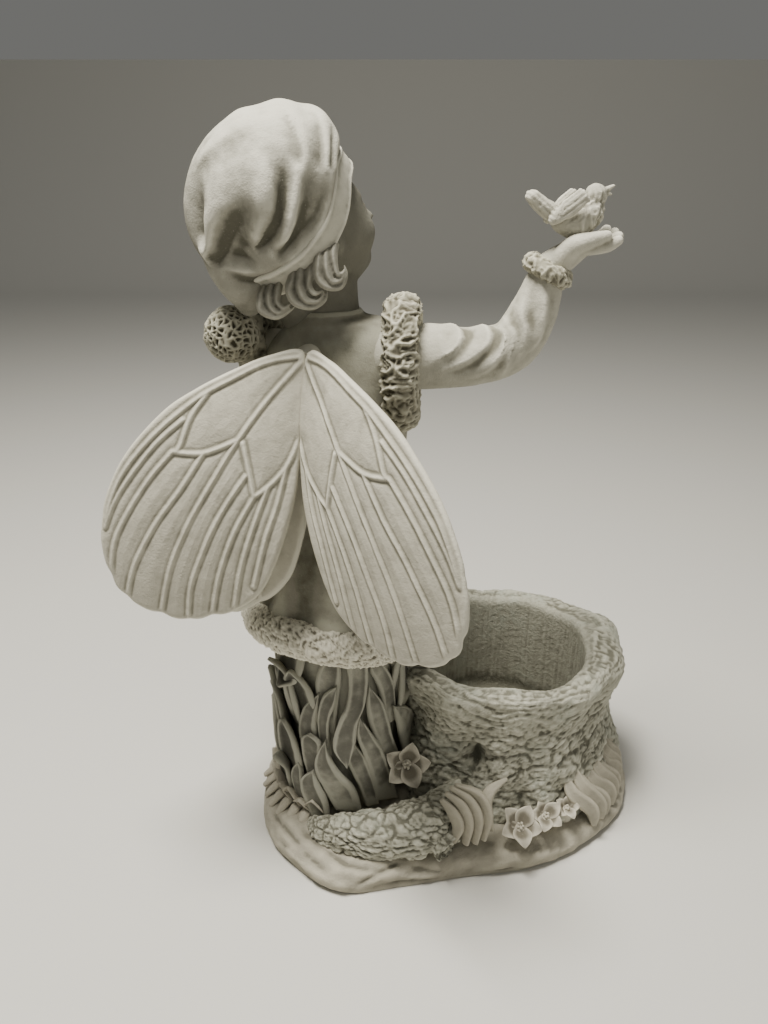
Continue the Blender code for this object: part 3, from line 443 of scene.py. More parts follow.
def from_stump(x, y, z):
    """A point so far from the stump's middle line, and so far above the ground."""
    return STUMP_X + x, STUMP_Y + y, GROUND_THICKNESS + z


def ground():
    """A low mound: a smooth edge, shrunk and lifted ring by ring along a profile, plus noise and creases.

    The profile gives shares of the way from the middle to the edge, and of the thickness. It bulges over the
    foot line and then rolls in to the top.
    """
    shares = [
        (-0.27, -0.455), (-0.13, -0.435), (0.02, -0.40), (0.20, -0.36), (0.36, -0.25), (0.47, -0.10),
        (0.50, 0.08), (0.46, 0.30), (0.32, 0.45), (0.10, 0.50), (-0.14, 0.52), (-0.34, 0.50),
        (-0.45, 0.36), (-0.475, 0.16), (-0.49, -0.03), (-0.47, -0.20), (-0.39, -0.36),
    ]
    edge = smooth_curve([(x * GROUND_LENGTH, y * GROUND_DEPTH, 0.0) for x, y in shares], 340, closed=True)
    middle = edge.mean(axis=0)
    profile = [
        (0.05, 0), (0.5, 0), (0.93, 0.0), (0.968, 0.0), (0.985, 0.10), (0.998, 0.3), (0.995, 0.5),
        (0.975, 0.70), (0.945, 0.86), (0.90, 0.97), (0.83, 1.05), (0.75, 1.1), (0.62, 1.16), (0.5, 1.2),
        (0.03, 1.25),
    ]
    reach = 140
    profile = smooth_curve(profile, 400) * (reach, GROUND_THICKNESS)
    length = np.concatenate([[0], np.cumsum(np.linalg.norm(np.diff(profile, axis=0), axis=1))])
    below, above = length[-1] * 0.40, length[-1] * 0.42
    even = np.concatenate([np.linspace(0, below, 6), np.linspace(above, length[-1], 84)])
    share, level = (np.interp(even, length, profile[:, n]) for n in range(2))
    level = np.clip(level, 0, None)
    rings = middle + (edge - middle) * (share / reach)[:, None, None] + UP * level[:, None, None]
    form = Form(rings)
    at = form.points
    lift = rising(at[:, 2], 0.1, 4)
    height = 2.8 * rough(at, (44, 44, 26), 3, 3) + 0.5 * rough(at, 9, 3, 5) + 0.35 * curls(at, 5, 8)
    height += folds(at, form.normals(), GROUND_CREASES)
    return form.push((height - 0.9) * lift)


# Each crease and swell of the ground: its height, the reach of its left and right flanks, and its crest
GROUND_CREASES = [
    (-3.4, 3.0, 3.4, [
        (-136, -78, 27), (-125, -88, 27), (-106, -105, 26), (-87, -117, 24), (-63, -121, 22), (-38, -119, 20),
    ]),
    (-2.8, 2.4, 3.0, [(-46, -112, 24), (-55, -118, 20), (-65, -122, 17), (-75, -127, 14), (-86, -131, 6)]),
    (-1.8, 2.6, 3.6, [(-40, -115, 22), (-23, -117, 14), (-6, -116, 10)]),
    (2.2, 3, 7, [(-168, -78, 14), (-150, -96, 19), (-128, -112, 16), (-104, -126, 14), (-80, -134, 8)]),
    (2.4, 3, 8, [(-70, -112, 22), (-52, -121, 17), (-30, -124, 12), (-8, -121, 9)]),
    (2.0, 3, 7, [(40, -100, 20), (62, -96, 15), (86, -88, 11), (108, -76, 9)]),
    (-3.2, 3.4, 2.6, [
        (-164, -50, 20), (-159, -60, 19), (-143, -82, 21), (-130, -98, 19), (-118, -110, 16),
        (-107, -121, 13), (-96, -129, 10),
    ]),
]


def stump_radius(turn, height):
    """Outer radius of the stump at a bearing and a share of its height: its wall is thickest towards +X.

    The rim's radius is widened by a flare at the foot, sines for ridges and a bulge below the rim, and
    narrowed by a waist and a knot hole.
    """
    lip = BORE_RADIUS + STUMP_WALL * (1 + 0.75 * bell(np.angle(np.exp(1j * (turn - 0.15))), 0, 0.8))
    flare = (0.13 + 0.05 * np.sin(5 * turn + 0.6)) * (1 - height) ** 2.2
    bark = 0.018 * np.sin(11 * turn + 2 * np.sin(4 * height)) + 0.014 * np.sin(9 * height + 3 * turn)
    waist = -0.04 * bell(height, 0.62, 0.2) + 0.03 * bell(height, 0.95, 0.12)
    knot_hole = -0.15 * bell(np.angle(np.exp(1j * (turn + 1.87))), 0, 0.09) * bell(height, 0.58, 0.07)
    return lip * (1 + flare + bark + waist + knot_hole)


def stump():
    """The hollow stump: a profile of radii and heights at each bearing, bark outside and comb marks inside.

    The profile goes up the outside, over the rolled rim, down the bore, round its foot and across its floor.
    """
    even = np.linspace(0, 1, 455, endpoint=False)
    turn = -1.2 + 2 * math.pi * (even + 0.055 * np.sin(2 * math.pi * even))
    rim = STUMP_HEIGHT + 3.0 * np.sin(3 * turn + 0.8) + 2.0 * np.sin(7 * turn)
    shoulder = 0.94
    fillet = 10

    def ring(radius, height):
        """One ring of the profile: a radius and a height at every bearing."""
        return np.broadcast_arrays(radius, height, turn)[:2]

    rows = [ring(stump_radius(turn, share), rim * share) for share in np.linspace(0.06, shoulder, 104)]
    top = stump_radius(turn, shoulder)
    for bend in math.pi * np.linspace(0.04, 1, 26):
        radius = (top + BORE_RADIUS) / 2 + (top - BORE_RADIUS) / 2 * squarer(math.cos(bend), 0.75)
        rows.append(ring(radius, rim * shoulder + (rim * (1 - shoulder) + 1) * math.sin(bend) ** 0.8))
    for share in np.linspace(0.03, 1, 16):
        rows.append(ring(BORE_RADIUS, rim * shoulder + (BORE_FLOOR + fillet - rim * shoulder) * share))
    for bend in np.linspace(0.3, math.pi / 2, 4):
        radius = BORE_RADIUS - fillet * (1 - math.cos(bend))
        rows.append(ring(radius, BORE_FLOOR + fillet * (1 - math.sin(bend))))
    rows += [ring(44, BORE_FLOOR), ring(2, BORE_FLOOR)]
    radius, height = np.moveaxis(np.array(rows, float), 1, 0)
    rings = np.stack([STUMP_X + radius * np.cos(turn), STUMP_Y + radius * np.sin(turn), height], -1)
    form = Form(rings)
    away = form.points - (STUMP_X, STUMP_Y, 0)
    radius = np.hypot(away[:, 0], away[:, 1])
    bearing = np.arctan2(away[:, 1], away[:, 0])
    outside = rising(radius, BORE_RADIUS + 2.5, BORE_RADIUS + 9)
    inside = (1 - outside) * rising(away[:, 2], BORE_FLOOR + 3, BORE_FLOOR + 12)
    height = outside * bark_grain(form.points, bearing, radius)
    round_about = np.stack([bearing * BORE_RADIUS, 0 * bearing, away[:, 2]], -1)
    comb = 0.35 * noise(round_about, (2.2, 9, 70), 2) + 0.25 * noise(round_about, (5.5, 9, 45), 4)
    return form.push(height + inside * comb)


# The bark's knots: bearing, share of the stump's height, and size
KNOTS = [
    (-1.62, 0.52, 11), (-1.30, 0.36, 13), (-0.95, 0.46, 14), (-1.08, 0.24, 10), (-0.62, 0.30, 12),
    (-0.35, 0.48, 12), (0.4, 0.5, 14), (1.5, 0.45, 13), (2.6, 0.6, 12),
]


def flakes(points, size, seed=0):
    """Angular plates about a size across: 1 on their tops, and 0 in the cracks between them.

    The cracks run where a cell's nearest and second nearest spots are equally far away.
    """
    near, second = cells(warped(points, 2.0 * np.mean(size), 0.45 * np.mean(size), seed), size, seed)
    return rising(second - near, 0.02, 0.26)


def bark_grain(points, bearing, radius):
    """Height of the bark: strands and cracks along slanting lines, swollen knots, plates, pits and chips.

    The strands follow the rim and bend round the knots. Plates and knots stand out more towards the ground.
    """
    level = points[:, 2] / STUMP_HEIGHT
    round_about = bearing * 100
    slant = 0.10 + 0.85 * rising(bearing, -1.25, -0.1) * rising(level, 0.98, 0.62)
    across = points[:, 2] + 0.9 * (105 - radius) + round_about * slant
    across = across + 9 * noise(points, 34, 21) + 3.5 * noise(points, 12, 22)
    boss = np.zeros(len(points))
    for turn, share, size in KNOTS:
        gap = np.hypot((bearing - turn) * 100, (level - share) * STUMP_HEIGHT) + 2.5 * noise(points, 9, 24)
        near = rising(gap, 2.4 * size, 0.8 * size)
        across = across * (1 - near) + (gap + 3.5 * noise(points, 10, 23)) * near
        boss += 2.4 * bell(gap, 0, size * 0.85) - 1.1 * bell(gap, 1.3 * size, 0.3 * size)
    grain = np.stack([across, round_about, 0 * across], -1)
    strand = seam(grain, (5.5, 60, 9), 30, 6) + 0.7 * seam(grain, (3.4, 34, 9), 31, 6)
    crack = seam(grain, (7.5, 46, 9), 32, 12) * rising(noise(points, 16, 33), -0.35, 0.25)
    low = rising(level, 0.92, 0.62)
    lump = 1.7 * rough(points, (24, 24, 18), 2, 11) + 0.4 * rough(points, 4.4, 2, 34)
    plate = 1.3 * flakes(points, (21, 21, 14), 5) + 0.6 * flakes(points, (8, 8, 6), 7) - 1.3
    pits = -0.9 * bell(cells(points, 4.2, 41)[0], 0, 0.28)
    high = (1.3 * strand - 1.4 * crack) * (1 - 0.25 * low)
    chips = 0.45 * rough(points, 3.2, 2, 36)
    high = high + plate * (0.5 + 0.5 * low) + lump * (0.35 + 0.65 * low)
    return boss * low + high + chips + pits * (0.9 + 0.1 * low) - 1.1


def crust(form, seed):
    """Crusted bark: angular flakes of two sizes, with pits, parted by wandering cracks."""
    at = form.points
    height = 1.9 * rough(at, 18, 2, seed) + 0.5 * rough(at, 3.6, 2, seed)
    height += 0.9 * curls(at, (9, 5, 4.5), seed + 1)
    height += 1.6 * flakes(at, (15, 11, 9), seed + 2) + 0.6 * flakes(at, (6.4, 5, 4.6), seed + 4)
    height -= 0.9 * bell(cells(at, 4.4, seed + 6)[0], 0, 0.26)
    crack = seam(warped(at, 13, 6, seed), (22, 13, 12), seed + 3, 11)
    return form.push(height - 1.8 * crack - 2.6)


def limb():
    """The broken limb along the near side, with a cut stub, and the stump's roots: crusted tubes."""
    log = [(-171, -102, 1), (-152, -114, 6), (-126, -121, 10), (-98, -123, 14), (-74, -118, 17)]
    log = [from_stump(*point) for point in (*log, (-58, -106, 22), (-46, -90, 24))]
    form = Form(tube(log, [8, 15, 19, 22, 24, 21, 16], ridge=0.12, around=112, steps=156))
    stub = [(-72, -116, 16), (-62, -128, 13), (-55, -136, 10)]
    form.add(cut_stub([from_stump(*point) for point in stub], 13))
    for bearing, reach in ((0.75, 124), (1.5, 114), (2.25, 112)):
        way = outwards(bearing)
        foot = np.array(from_stump(0, 0, 0))
        root = [foot + way * 103 + UP * 30, foot + way * 113 + UP * 14, foot + way * reach]
        form.add(tube(root, [15, 14, 8], around=26, steps=16))
    return crust(form, 3)


def cut_stub(points, radius, around=80):
    """A sawn-off stub: a lobed circle along a path, and on its end two raised rings and a hollow middle."""
    path = smooth_curve(points, 20)
    across, out = section_axes(path, UP)
    turn = circle(around)
    shape = radius * (1 + 0.06 * np.sin(3 * turn + 1) + 0.04 * np.sin(7 * turn))
    rings = carried(path, across, shape * np.cos(turn), out, shape * np.sin(turn))
    ahead = unit(path[-1] - path[-2])
    profile = [
        (1.0, 2.0), (0.93, 3.2), (0.84, 2.6), (0.76, 0.8), (0.62, 0.2), (0.52, 1.4), (0.42, 1.2),
        (0.30, -0.8), (0.18, -2.0), (0.06, -2.2),
    ]
    ends = [path[-1] + (rings[-1] - path[-1]) * share + ahead * reach for share, reach in profile]
    return np.concatenate([rings, ends])


# A leaf's width from stalk to tip, and a petal's, as shares of its greatest
LEAF_SHARES = (0.85, 1.0, 1.0, 0.70, 0.10)
PETAL_SHARES = (0.3, 0.8, 1.0, 0.6, 0.04)


def blade(points, width, face, thickness=4.2, cup=0.35, around=26, steps=28, shares=LEAF_SHARES, rim=0.12):
    """A pointed leaf: a flat, rounded section carried along a smooth curve, its width scaled by the shares.

    A power of the distance from its middle line hollows it, and a hump near each rim thickens it.
    """
    path = smooth_curve(points, steps)
    half = 0.5 * width * smooth_curve(shares, steps)[:, None]
    thick = thickness * smooth_curve([1.0, 1.0, 0.95, 0.85, 0.5], steps)[:, None]
    across, out = section_axes(path, face)
    turn = circle(around)
    x = squarer(np.cos(turn), 0.75)
    round_off = np.sqrt(np.clip(1 - x**2, 0, 1))
    front = round_off**0.6 * (0.6 + rim * bell(np.abs(x), 0.75, 0.3))
    y = np.where(np.sin(turn) > 0, front, -0.8 * round_off)
    lift = cup * half * (np.abs(x) ** 1.8 - 0.4)
    return carried(path, across, half * x, out, thick * y + lift)


# Each near leaf: how far out it lies, its tip's lean, and its left and right edges from stalk to tip,
# as bearings round the seat and heights
NEAR_LEAVES = [
    (1, 2, [(-1.95, 112), (-2.0, 151), (-1.96, 172), (-1.83, 186), (-1.66, 194)],
     [(-1.69, 112), (-1.6, 157), (-1.57, 174), (-1.59, 185), (-1.66, 194)]),
    (5, 3, [(-1.93, 92), (-1.94, 119), (-1.92, 139), (-1.83, 156), (-1.64, 166)],
     [(-1.76, 90), (-1.77, 118), (-1.74, 134), (-1.66, 150), (-1.64, 166)]),
    (5, 3, [(-0.90, 66), (-1.15, 115), (-1.22, 132), (-1.23, 148), (-1.19, 163)],
     [(-0.50, 56), (-0.77, 98), (-0.87, 122), (-0.99, 144), (-1.19, 163)]),
    (6, 3, [(-0.30, 45), (-0.59, 88), (-0.68, 106), (-0.75, 122), (-0.78, 133)],
     [(0.10, 40), (-0.08, 76), (-0.15, 98), (-0.44, 120), (-0.78, 133)]),
    (9, 3, [(-1.11, 40), (-1.22, 75), (-1.31, 98), (-1.39, 119), (-1.34, 137)],
     [(-0.71, 30), (-0.88, 67), (-1.02, 96), (-1.17, 116), (-1.34, 137)]),
    (2, 2, [(-0.86, 112), (-0.97, 146), (-1.07, 164), (-1.16, 177), (-1.1, 190)],
     [(-0.62, 112), (-0.70, 146), (-0.80, 165), (-0.94, 180), (-1.1, 190)]),
    (0, 2, [(-0.55, 112), (-0.58, 137), (-0.64, 157), (-0.74, 175), (-0.86, 190)],
     [(-0.20, 104), (-0.25, 127), (-0.38, 152), (-0.58, 174), (-0.86, 190)]),
    (4, 4, [(-2.21, 82), (-2.3, 99), (-2.29, 115), (-2.17, 137), (-1.9, 156)],
     [(-1.94, 82), (-1.95, 108), (-1.96, 126), (-1.92, 142), (-1.9, 156)]),
    (12, 3, [(-1.71, 38), (-1.87, 63), (-1.95, 78), (-1.93, 95), (-1.79, 115)],
     [(-1.33, 36), (-1.43, 63), (-1.62, 82), (-1.74, 98), (-1.79, 115)]),
    (14, 3, [(-2.04, 24), (-2.12, 42), (-2.17, 55), (-2.14, 68), (-1.97, 80)],
     [(-1.76, 24), (-1.79, 48), (-1.86, 62), (-1.91, 70), (-1.97, 80)]),
    (10, 4, [(-2.28, 26), (-2.36, 44), (-2.40, 58), (-2.34, 70), (-2.22, 80)],
     [(-2.06, 26), (-2.12, 46), (-2.15, 60), (-2.17, 71), (-2.22, 80)]),
    (7, 2, [(-1.26, 34), (-1.37, 60), (-1.46, 76), (-1.52, 91), (-1.41, 106)],
     [(-1.04, 34), (-1.11, 56), (-1.19, 77), (-1.27, 93), (-1.41, 106)]),
    (8, 8, [(-2.11, 60), (-2.18, 81), (-2.19, 96), (-2.16, 108), (-2.02, 117)],
     [(-1.91, 60), (-1.87, 87), (-1.85, 99), (-1.87, 110), (-2.02, 117)]),
    (6, 14, [(-1.53, 198), (-1.48, 173), (-1.52, 148), (-1.64, 128), (-1.70, 106), (-1.52, 90)],
     [(-1.20, 198), (-1.20, 171), (-1.26, 146), (-1.36, 130), (-1.41, 110), (-1.52, 90)]),
]

# Each leaf of the far sides: bearing and height of its tip, belly and stalk, its width, and its tip's lean
SIDE_LEAVES = [
    (-2.46, 118, -2.50, 86, -2.52, 44, 34, 10), (-2.72, 172, -2.66, 142, -2.60, 104, 38, 17),
    (-2.32, 172, -2.28, 146, -2.26, 106, 34, 11), (-2.95, 138, -2.90, 108, -2.85, 68, 38, 11),
    (-2.60, 74, -2.66, 50, -2.70, 20, 28, 16), (-0.42, 192, -0.46, 168, -0.50, 132, 28, 4),
    (-2.55, 150, -2.50, 172, -2.45, 196, 34, 15), (-0.62, 120, -0.30, 156, -0.22, 194, 30, 4),
]


def on_seat(bearing, out, height):
    """A point at a bearing from the seat's middle line, so far out from its core, and at a height."""
    radius = SEAT_RADIUS + out
    return np.stack([SEAT_X + radius * np.cos(bearing), SEAT_Y + radius * np.sin(bearing), height], -1)


def near_leaf(lift, lean, left, right, steps=34, around=34):
    """A leaf on the seat's near side: it spans two smooth edges, and a section says how far out it lies.

    The section bulges in the middle and has a soft rim near each edge. lean bends the tip out by the cube of
    the way along.
    """
    share = np.linspace(0, 1, steps)[:, None]
    left, right = (smooth_curve(edge, steps)[:, None] for edge in (left, right))
    turn = circle(around)
    x = squarer(np.cos(turn), 0.8)
    place = 0.5 * (left + right) + 0.5 * (right - left) * x[:, None]
    round_off = np.sqrt(np.clip(1 - x**2, 0, 1))
    front = 3.6 * round_off**0.8 + 1.1 * bell(x, -0.78, 0.26) + 1.9 * bell(x, 0.8, 0.24)
    out = np.where(np.sin(turn) > 0, front, -4 * round_off) * (1 - 0.45 * share**3)
    out = out + lift + 2.5 * np.sin(math.pi * share) + lean * share**3
    return on_seat(place[..., 0], out, place[..., 1])


def seat_leaf(tip, tip_height, middle, middle_height, stalk, stalk_height, width, lean):
    """A leaf on the seat's far side, by the bearings and heights of its tip, middle and stalk.

    It springs from the core and leans out, and the lower ones lie over the upper ones.
    """
    ahead = 6 * rising(stalk_height, 120, 20)
    places = (
        (stalk, stalk_height, -3),
        (0.5 * (stalk + middle), 0.5 * (stalk_height + middle_height), 2),
        (middle, middle_height, 5),
        (0.4 * middle + 0.6 * tip, 0.4 * middle_height + 0.6 * tip_height, 8),
        (tip, tip_height, lean + 2),
    )
    points = [on_seat(bearing, out + ahead, height) for bearing, height, out in places]
    face = (math.cos(middle), math.sin(middle), 0.15)
    return blade(points, 1.15 * width, face, 5.0, 0.1, 30, 28, rim=0.3)


def seat():
    """The leafy mound that the pixie sits on: a core of circles, and upright or hanging leaves all round."""
    rings = []
    foot = GROUND_THICKNESS - 8
    for share, wide in ((0, 0.98), (0.15, 0.98), (0.5, 1.0), (0.85, 1.02), (1.06, 1.03)):
        radius = SEAT_RADIUS * wide
        middle = (SEAT_X, SEAT_Y, foot + (SEAT_TOP - foot) * share)
        rings.append(ellipse(middle, (radius, 0, 0), (0, radius, 0), 96))
    form = Form(np.array(rings))
    for leaf in NEAR_LEAVES:
        form.add(near_leaf(*leaf))
    for leaf in SIDE_LEAVES:
        form.add(seat_leaf(*leaf))
    for tier, start in enumerate((0.0, 0.5, 0.0)):
        for n in range(6):
            bearing = 0.15 + 0.56 * (n + start)
            stalk = GROUND_THICKNESS - 4 + 45 * tier
            form.add(seat_leaf(bearing, stalk + 84, bearing - 0.05, stalk + 46, bearing - 0.1, stalk, 38, 12))
    return form.push(0.25 * rough(form.points, 12, 2, 4))


def flower(centre, face, size, spin):
    """Five broad, pointed, cupped petals at even turns round an eye of short stamens."""
    face = unit(face)
    side = unit(np.cross(face, (0.3, 0.1, 1)))
    up = np.cross(side, face)
    centre = np.asarray(centre, float)
    form = Form()
    for n in range(5):
        turn = 2 * math.pi * n / 5 + spin
        way = side * math.cos(turn) + up * math.sin(turn)
        high = 1.6 * (n % 2)
        points = [
            centre - face * 2, centre + way * size * 0.30 + face * (0.2 + high),
            centre + way * size * 0.68 + face * (4.6 + high), centre + way * size + face * (4.0 + high),
        ]
        form.add(blade(points, size * 0.90, face, 1.8, 0.32, 22, 16, PETAL_SHARES, rim=0.2))
        dot = centre + way * 0.12 * size + face * (2.6 + 0.7 * (n % 2))
        form.add(ball(dot, (1.3, 1.3, 1.6), around=10, tall=8))
    return form


def blooms():
    """Flowers on the seat and on the ground, with tubes for their stalks."""
    bloom = np.array(from_stump(-88, -83, 53))
    form = flower(bloom, (0.1, -1, 0.45), 21, 0.25)
    form.add(tube([bloom - (0, -3, 0), bloom + (-24, 26, -8)], [5, 5], around=16, steps=6))
    for x, y, z, size, spin in ((9, -117, 15, 18.5, 0.5), (33, -107, 17, 15, 0.9), (53, -98, 17, 11, 0.2)):
        bloom = np.array(from_stump(x, y, z))
        form.join(flower(bloom, (0.1, -0.7, 1), size, spin))
        form.add(tube([bloom - UP * 3, bloom + (0, 8, -16)], [5, 8], around=16, steps=6))
    return form


# Middle lines of the tuft's tubes, and of the curled leaf beside it, as seen from the stump's middle line
TUFT = [
    [(-11, -97, 74), (-3, -101, 66), (2, -104, 54), (-1, -105, 40)],
    [(-7, -96, 80), (4, -100, 72), (10, -103, 57), (9, -105, 37)],
    [(-3, -95, 85), (10, -98, 76), (18, -102, 60), (17, -104, 37)],
    [(1, -94, 87), (18, -96, 79), (26, -100, 63), (24, -103, 40)],
]
CURLED_LEAF = [(31, -98, 44), (27, -99, 60), (25, -98, 74), (30, -95, 84), (42, -90, 90)]


def foliage():
    """A curled tuft of ridged tubes, leaves that droop round the stump, and low leaves round the seat.

    Each leaf is a blade or a tube at its own bearing; sines vary the drooping leaves' bearings and heights.
    """
    form = Form()
    sharp = dict(around=24, ridge=0.3)
    for strand in TUFT:
        form.add(tube(strand, [2.4, 4.6, 5.0, 3.2], (0.5, -1, 0.9), [3.6, 6.5, 6.5, 4], steps=28, **sharp))
    form.add(tube(CURLED_LEAF, [2.4, 5, 6, 4.6, 1.6], (0.5, -1, 0.5), [3, 4.5, 5, 4, 1.6], steps=26, **sharp))
    foot = np.array(from_stump(0, 0, 0))
    for n in range(18):
        bearing = -0.90 + 0.088 * n + 0.018 * math.sin(2.3 * n)
        root, way = outwards(bearing - 0.11), outwards(bearing)
        side = np.cross(UP, way)
        high = 38 + 3.5 * math.sin(1.9 * n)
        points = [
            foot + root * 101 + UP * (high + 3), foot + root * 112 - way * 1 + UP * (high - 9),
            foot + way * 121 + side * 3 + UP * 10, foot + way * 124 + side * 5 - UP * 7,
        ]
        face = way + 0.8 * UP - 0.95 * side
        form.add(blade(points, 13.5, face, 4.4, -0.1, 20, 24, shares=(0.3, 0.85, 1.0, 0.9, 0.35), rim=0.3))
    foot = np.array([SEAT_X, SEAT_Y, GROUND_THICKNESS])
    for n in range(11):
        bearing = 2.3 + 0.2 * n
        way = outwards(bearing)
        rise = 24 - 7 * (n % 2)
        stalk = foot + way * (SEAT_RADIUS - 2) - UP * 3
        points = [stalk, foot + way * 63 + UP * 8, foot + way * 72 + UP * rise]
        form.add(blade(points, 24, way + 0.4 * UP, 3.4, 0.5, 18, 16))
    for n in range(7):
        bearing = 3.15 + 0.17 * n
        way = outwards(bearing)
        points = [foot + way * 58 + UP * 6, foot + way * 70 + UP * 3, foot + way * 80 - UP * 5]
        form.add(tube(points, [3, 5, 3], way + UP, [2.5, 3, 2], around=14, steps=14, ridge=0.3))
    return form


# Pixie


def tunic():
    """The tunic from hem to collar: an ellipse carried up smooth rows, times sines for the hem's pleats.

    Each row has a height, the middle's x and y, the half width and depth, and how far the shoulders lean.
    """
    rows = [
        (200, -103, -2, 74, 70, 0.0), (215, -103, -2, 73, 68, 0.0), (240, -102, -3, 64, 57, 0.0),
        (280, -101, -3, 55, 46, 0.0), (330, -99, -3, 55, 43, 0.02), (380, -97, -2, 58, 44, 0.05),
        (415, -97, -1, 61, 43, 0.12), (436, -98, -1, 57, 38, 0.17), (449, -100, -1, 43, 31, 0.16),
        (456, -101, -1, 29, 27, 0.06), (462, -101, -1, 24, 23, 0.0),
    ]
    turn = circle(120)
    height, x, y, wide, deep, lift = smooth_curve(rows, 70).T[..., None]
    pleats = 1 + 0.035 * np.sin(9 * turn + 0.5 * np.sin(3 * turn)) * np.clip((310 - height) / 100, 0, 1)
    aside = (wide * np.cos(turn) * pleats)[..., None] * (BODY_RIGHT + UP * lift[..., None])
    ahead = (deep * np.sin(turn) * pleats)[..., None] * BODY_FRONT
    form = Form(np.stack([x, y, height], -1) + aside + ahead)
    return form.push(0.5 * rough(form.points, (30, 30, 60), 3, 5))


def hem():
    """The fur hem: a roll round an ellipse that rises over the thighs in front and dips at its right."""
    wide, deep = 68, 64
    path = ellipse((-103, -2, 208), BODY_RIGHT * wide, BODY_FRONT * deep, 32)
    ahead = ((path - path.mean(axis=0)) @ BODY_FRONT) / deep
    aside = ((path - path.mean(axis=0)) @ BODY_RIGHT) / wide
    path[:, 2] += 16 * np.clip(ahead, 0, 1) ** 2 - 9 * np.clip(aside, 0, 1) + 2 * np.sin(4 * ahead)
    return fur(Form(roll(path, FUR * 0.93, FUR * 1.1, 420, 80), looped=True), 3.7, 1.5, 3)


def armholes():
    """Fur round both armholes: rolls round two ellipses."""
    hole = ellipse((-47, -20, 425), UP * 38, (2, 26, 0))
    right = Form(roll(hole, FUR * 0.88, count=250, around=100), looped=True)
    hole = ellipse((-152, 20, 419), UP * 32 - BODY_RIGHT * 6, BODY_FRONT * 24)
    left = Form(roll(hole, FUR * 0.76, count=120, around=44), looped=True)
    return fur(right, (8.5, 8.5, 5.0), 2.6, 5), fur(left, (8.5, 8.5, 5.4), 2.0, 6)


def cuffs():
    """Fur round the wrists and the boot tops: rolls round level or leaning circles."""
    lean = unit((0.47, 0, 0.88))
    ring = ellipse((56.5, -20, 491), np.cross(lean, (0, 1, 0)) * 13, np.array((0, 1, 0)) * 13)
    form = fur(Form(roll(ring, FUR * 0.42, FUR * 0.44, 130, 52), looped=True), 5.4, 1.8, 2)
    lean = unit((0.4, 0.6, -0.75))
    side = unit(np.cross(lean, UP))
    ring = ellipse((-147, 99, 295), side * 13, np.cross(lean, side) * 13)
    form.join(fur(Form(roll(ring, FUR * 0.42, count=70, around=26), looped=True), 3.6, 1.1, 4))
    for ankle_x, y in ((-131, 0), (-80, -4)):
        ring = ellipse((ankle_x, 100 + y, GROUND_THICKNESS + 54), (19, 0, 0), (0, 19, 2))
        form.join(fur(Form(roll(ring, FUR * 0.4, count=76, around=26), looped=True), 3.8, 1.1, 6))
    return form


# Each fold of the right sleeve: its height, the reach of its left and right flanks, and its crest
RIGHT_SLEEVE_FOLDS = [
    (2.7, 3.0, 10, [
        (-14, -14, 456), (-10, -21, 455), (-5, -32, 450), (-6, -38, 445), (-11, -44, 439), (-19, -46, 434),
        (-31, -45, 429),
    ]),
    (2.9, 3.0, 10, [
        (9, -14, 455), (12, -22, 454), (15, -33, 449), (15, -37, 445), (11, -40, 440), (2, -43, 433),
        (-12, -46, 426), (-27, -43, 421),
    ]),
    (2.6, 3.0, 9, [
        (18, -16, 457), (21, -28, 454), (26, -36, 450), (26, -41, 443), (22, -42, 434), (13, -40, 424),
        (-5, -40, 416),
    ]),
    (2.8, 3.0, 8, [
        (24, -20, 463), (27, -28, 458), (32, -37, 450), (32, -42, 440), (28, -40, 427), (26, -32, 416),
    ]),
    (2.6, 3.2, 7, [(40, -30, 482), (38, -36, 462), (40, -39, 451), (38, -41, 438), (30, -36, 420)]),
    (2.4, 3.2, 6, [(52, -35, 486), (54, -38, 471), (53, -38, 458), (49, -37, 445), (39, -40, 431)]),
]


def sleeves():
    """Tubes: the right arm reaches out, with swags that fan from the elbow; the left rests on the knee.

    Sines down the left arm, moved by noise, wrinkle its sleeve.
    """
    reach = [(-58, -20, 430), (-25, -20, 430), (5, -20, 430), (34, -20, 438), (49, -20, 463), (56, -20, 490)]
    right = Form(tube(reach, [25, 24.5, 22, 20, 18, 13], (0, -1, 0.2), around=96, steps=120)).fused(1.3, 8)
    right.crease(RIGHT_SLEEVE_FOLDS)
    right.push(0.3 * rough(right.points, 14, 3, 4) - 0.6)
    rest = [(-146, 18, 418), (-163, 34, 385), (-170, 52, 348), (-160, 78, 322), (-148, 98, 296)]
    left = Form(tube(rest, [25, 23, 21, 18, 14], (0, -1, 0.2), around=56, steps=64))
    share = (left.points[:, 2] - 296) / 122
    left.push(1.3 * np.sin(22 * share + 1.5 * noise(left.points, 30, 3)) * rising(share, 0.05, 0.3) - 0.3)
    return right, left


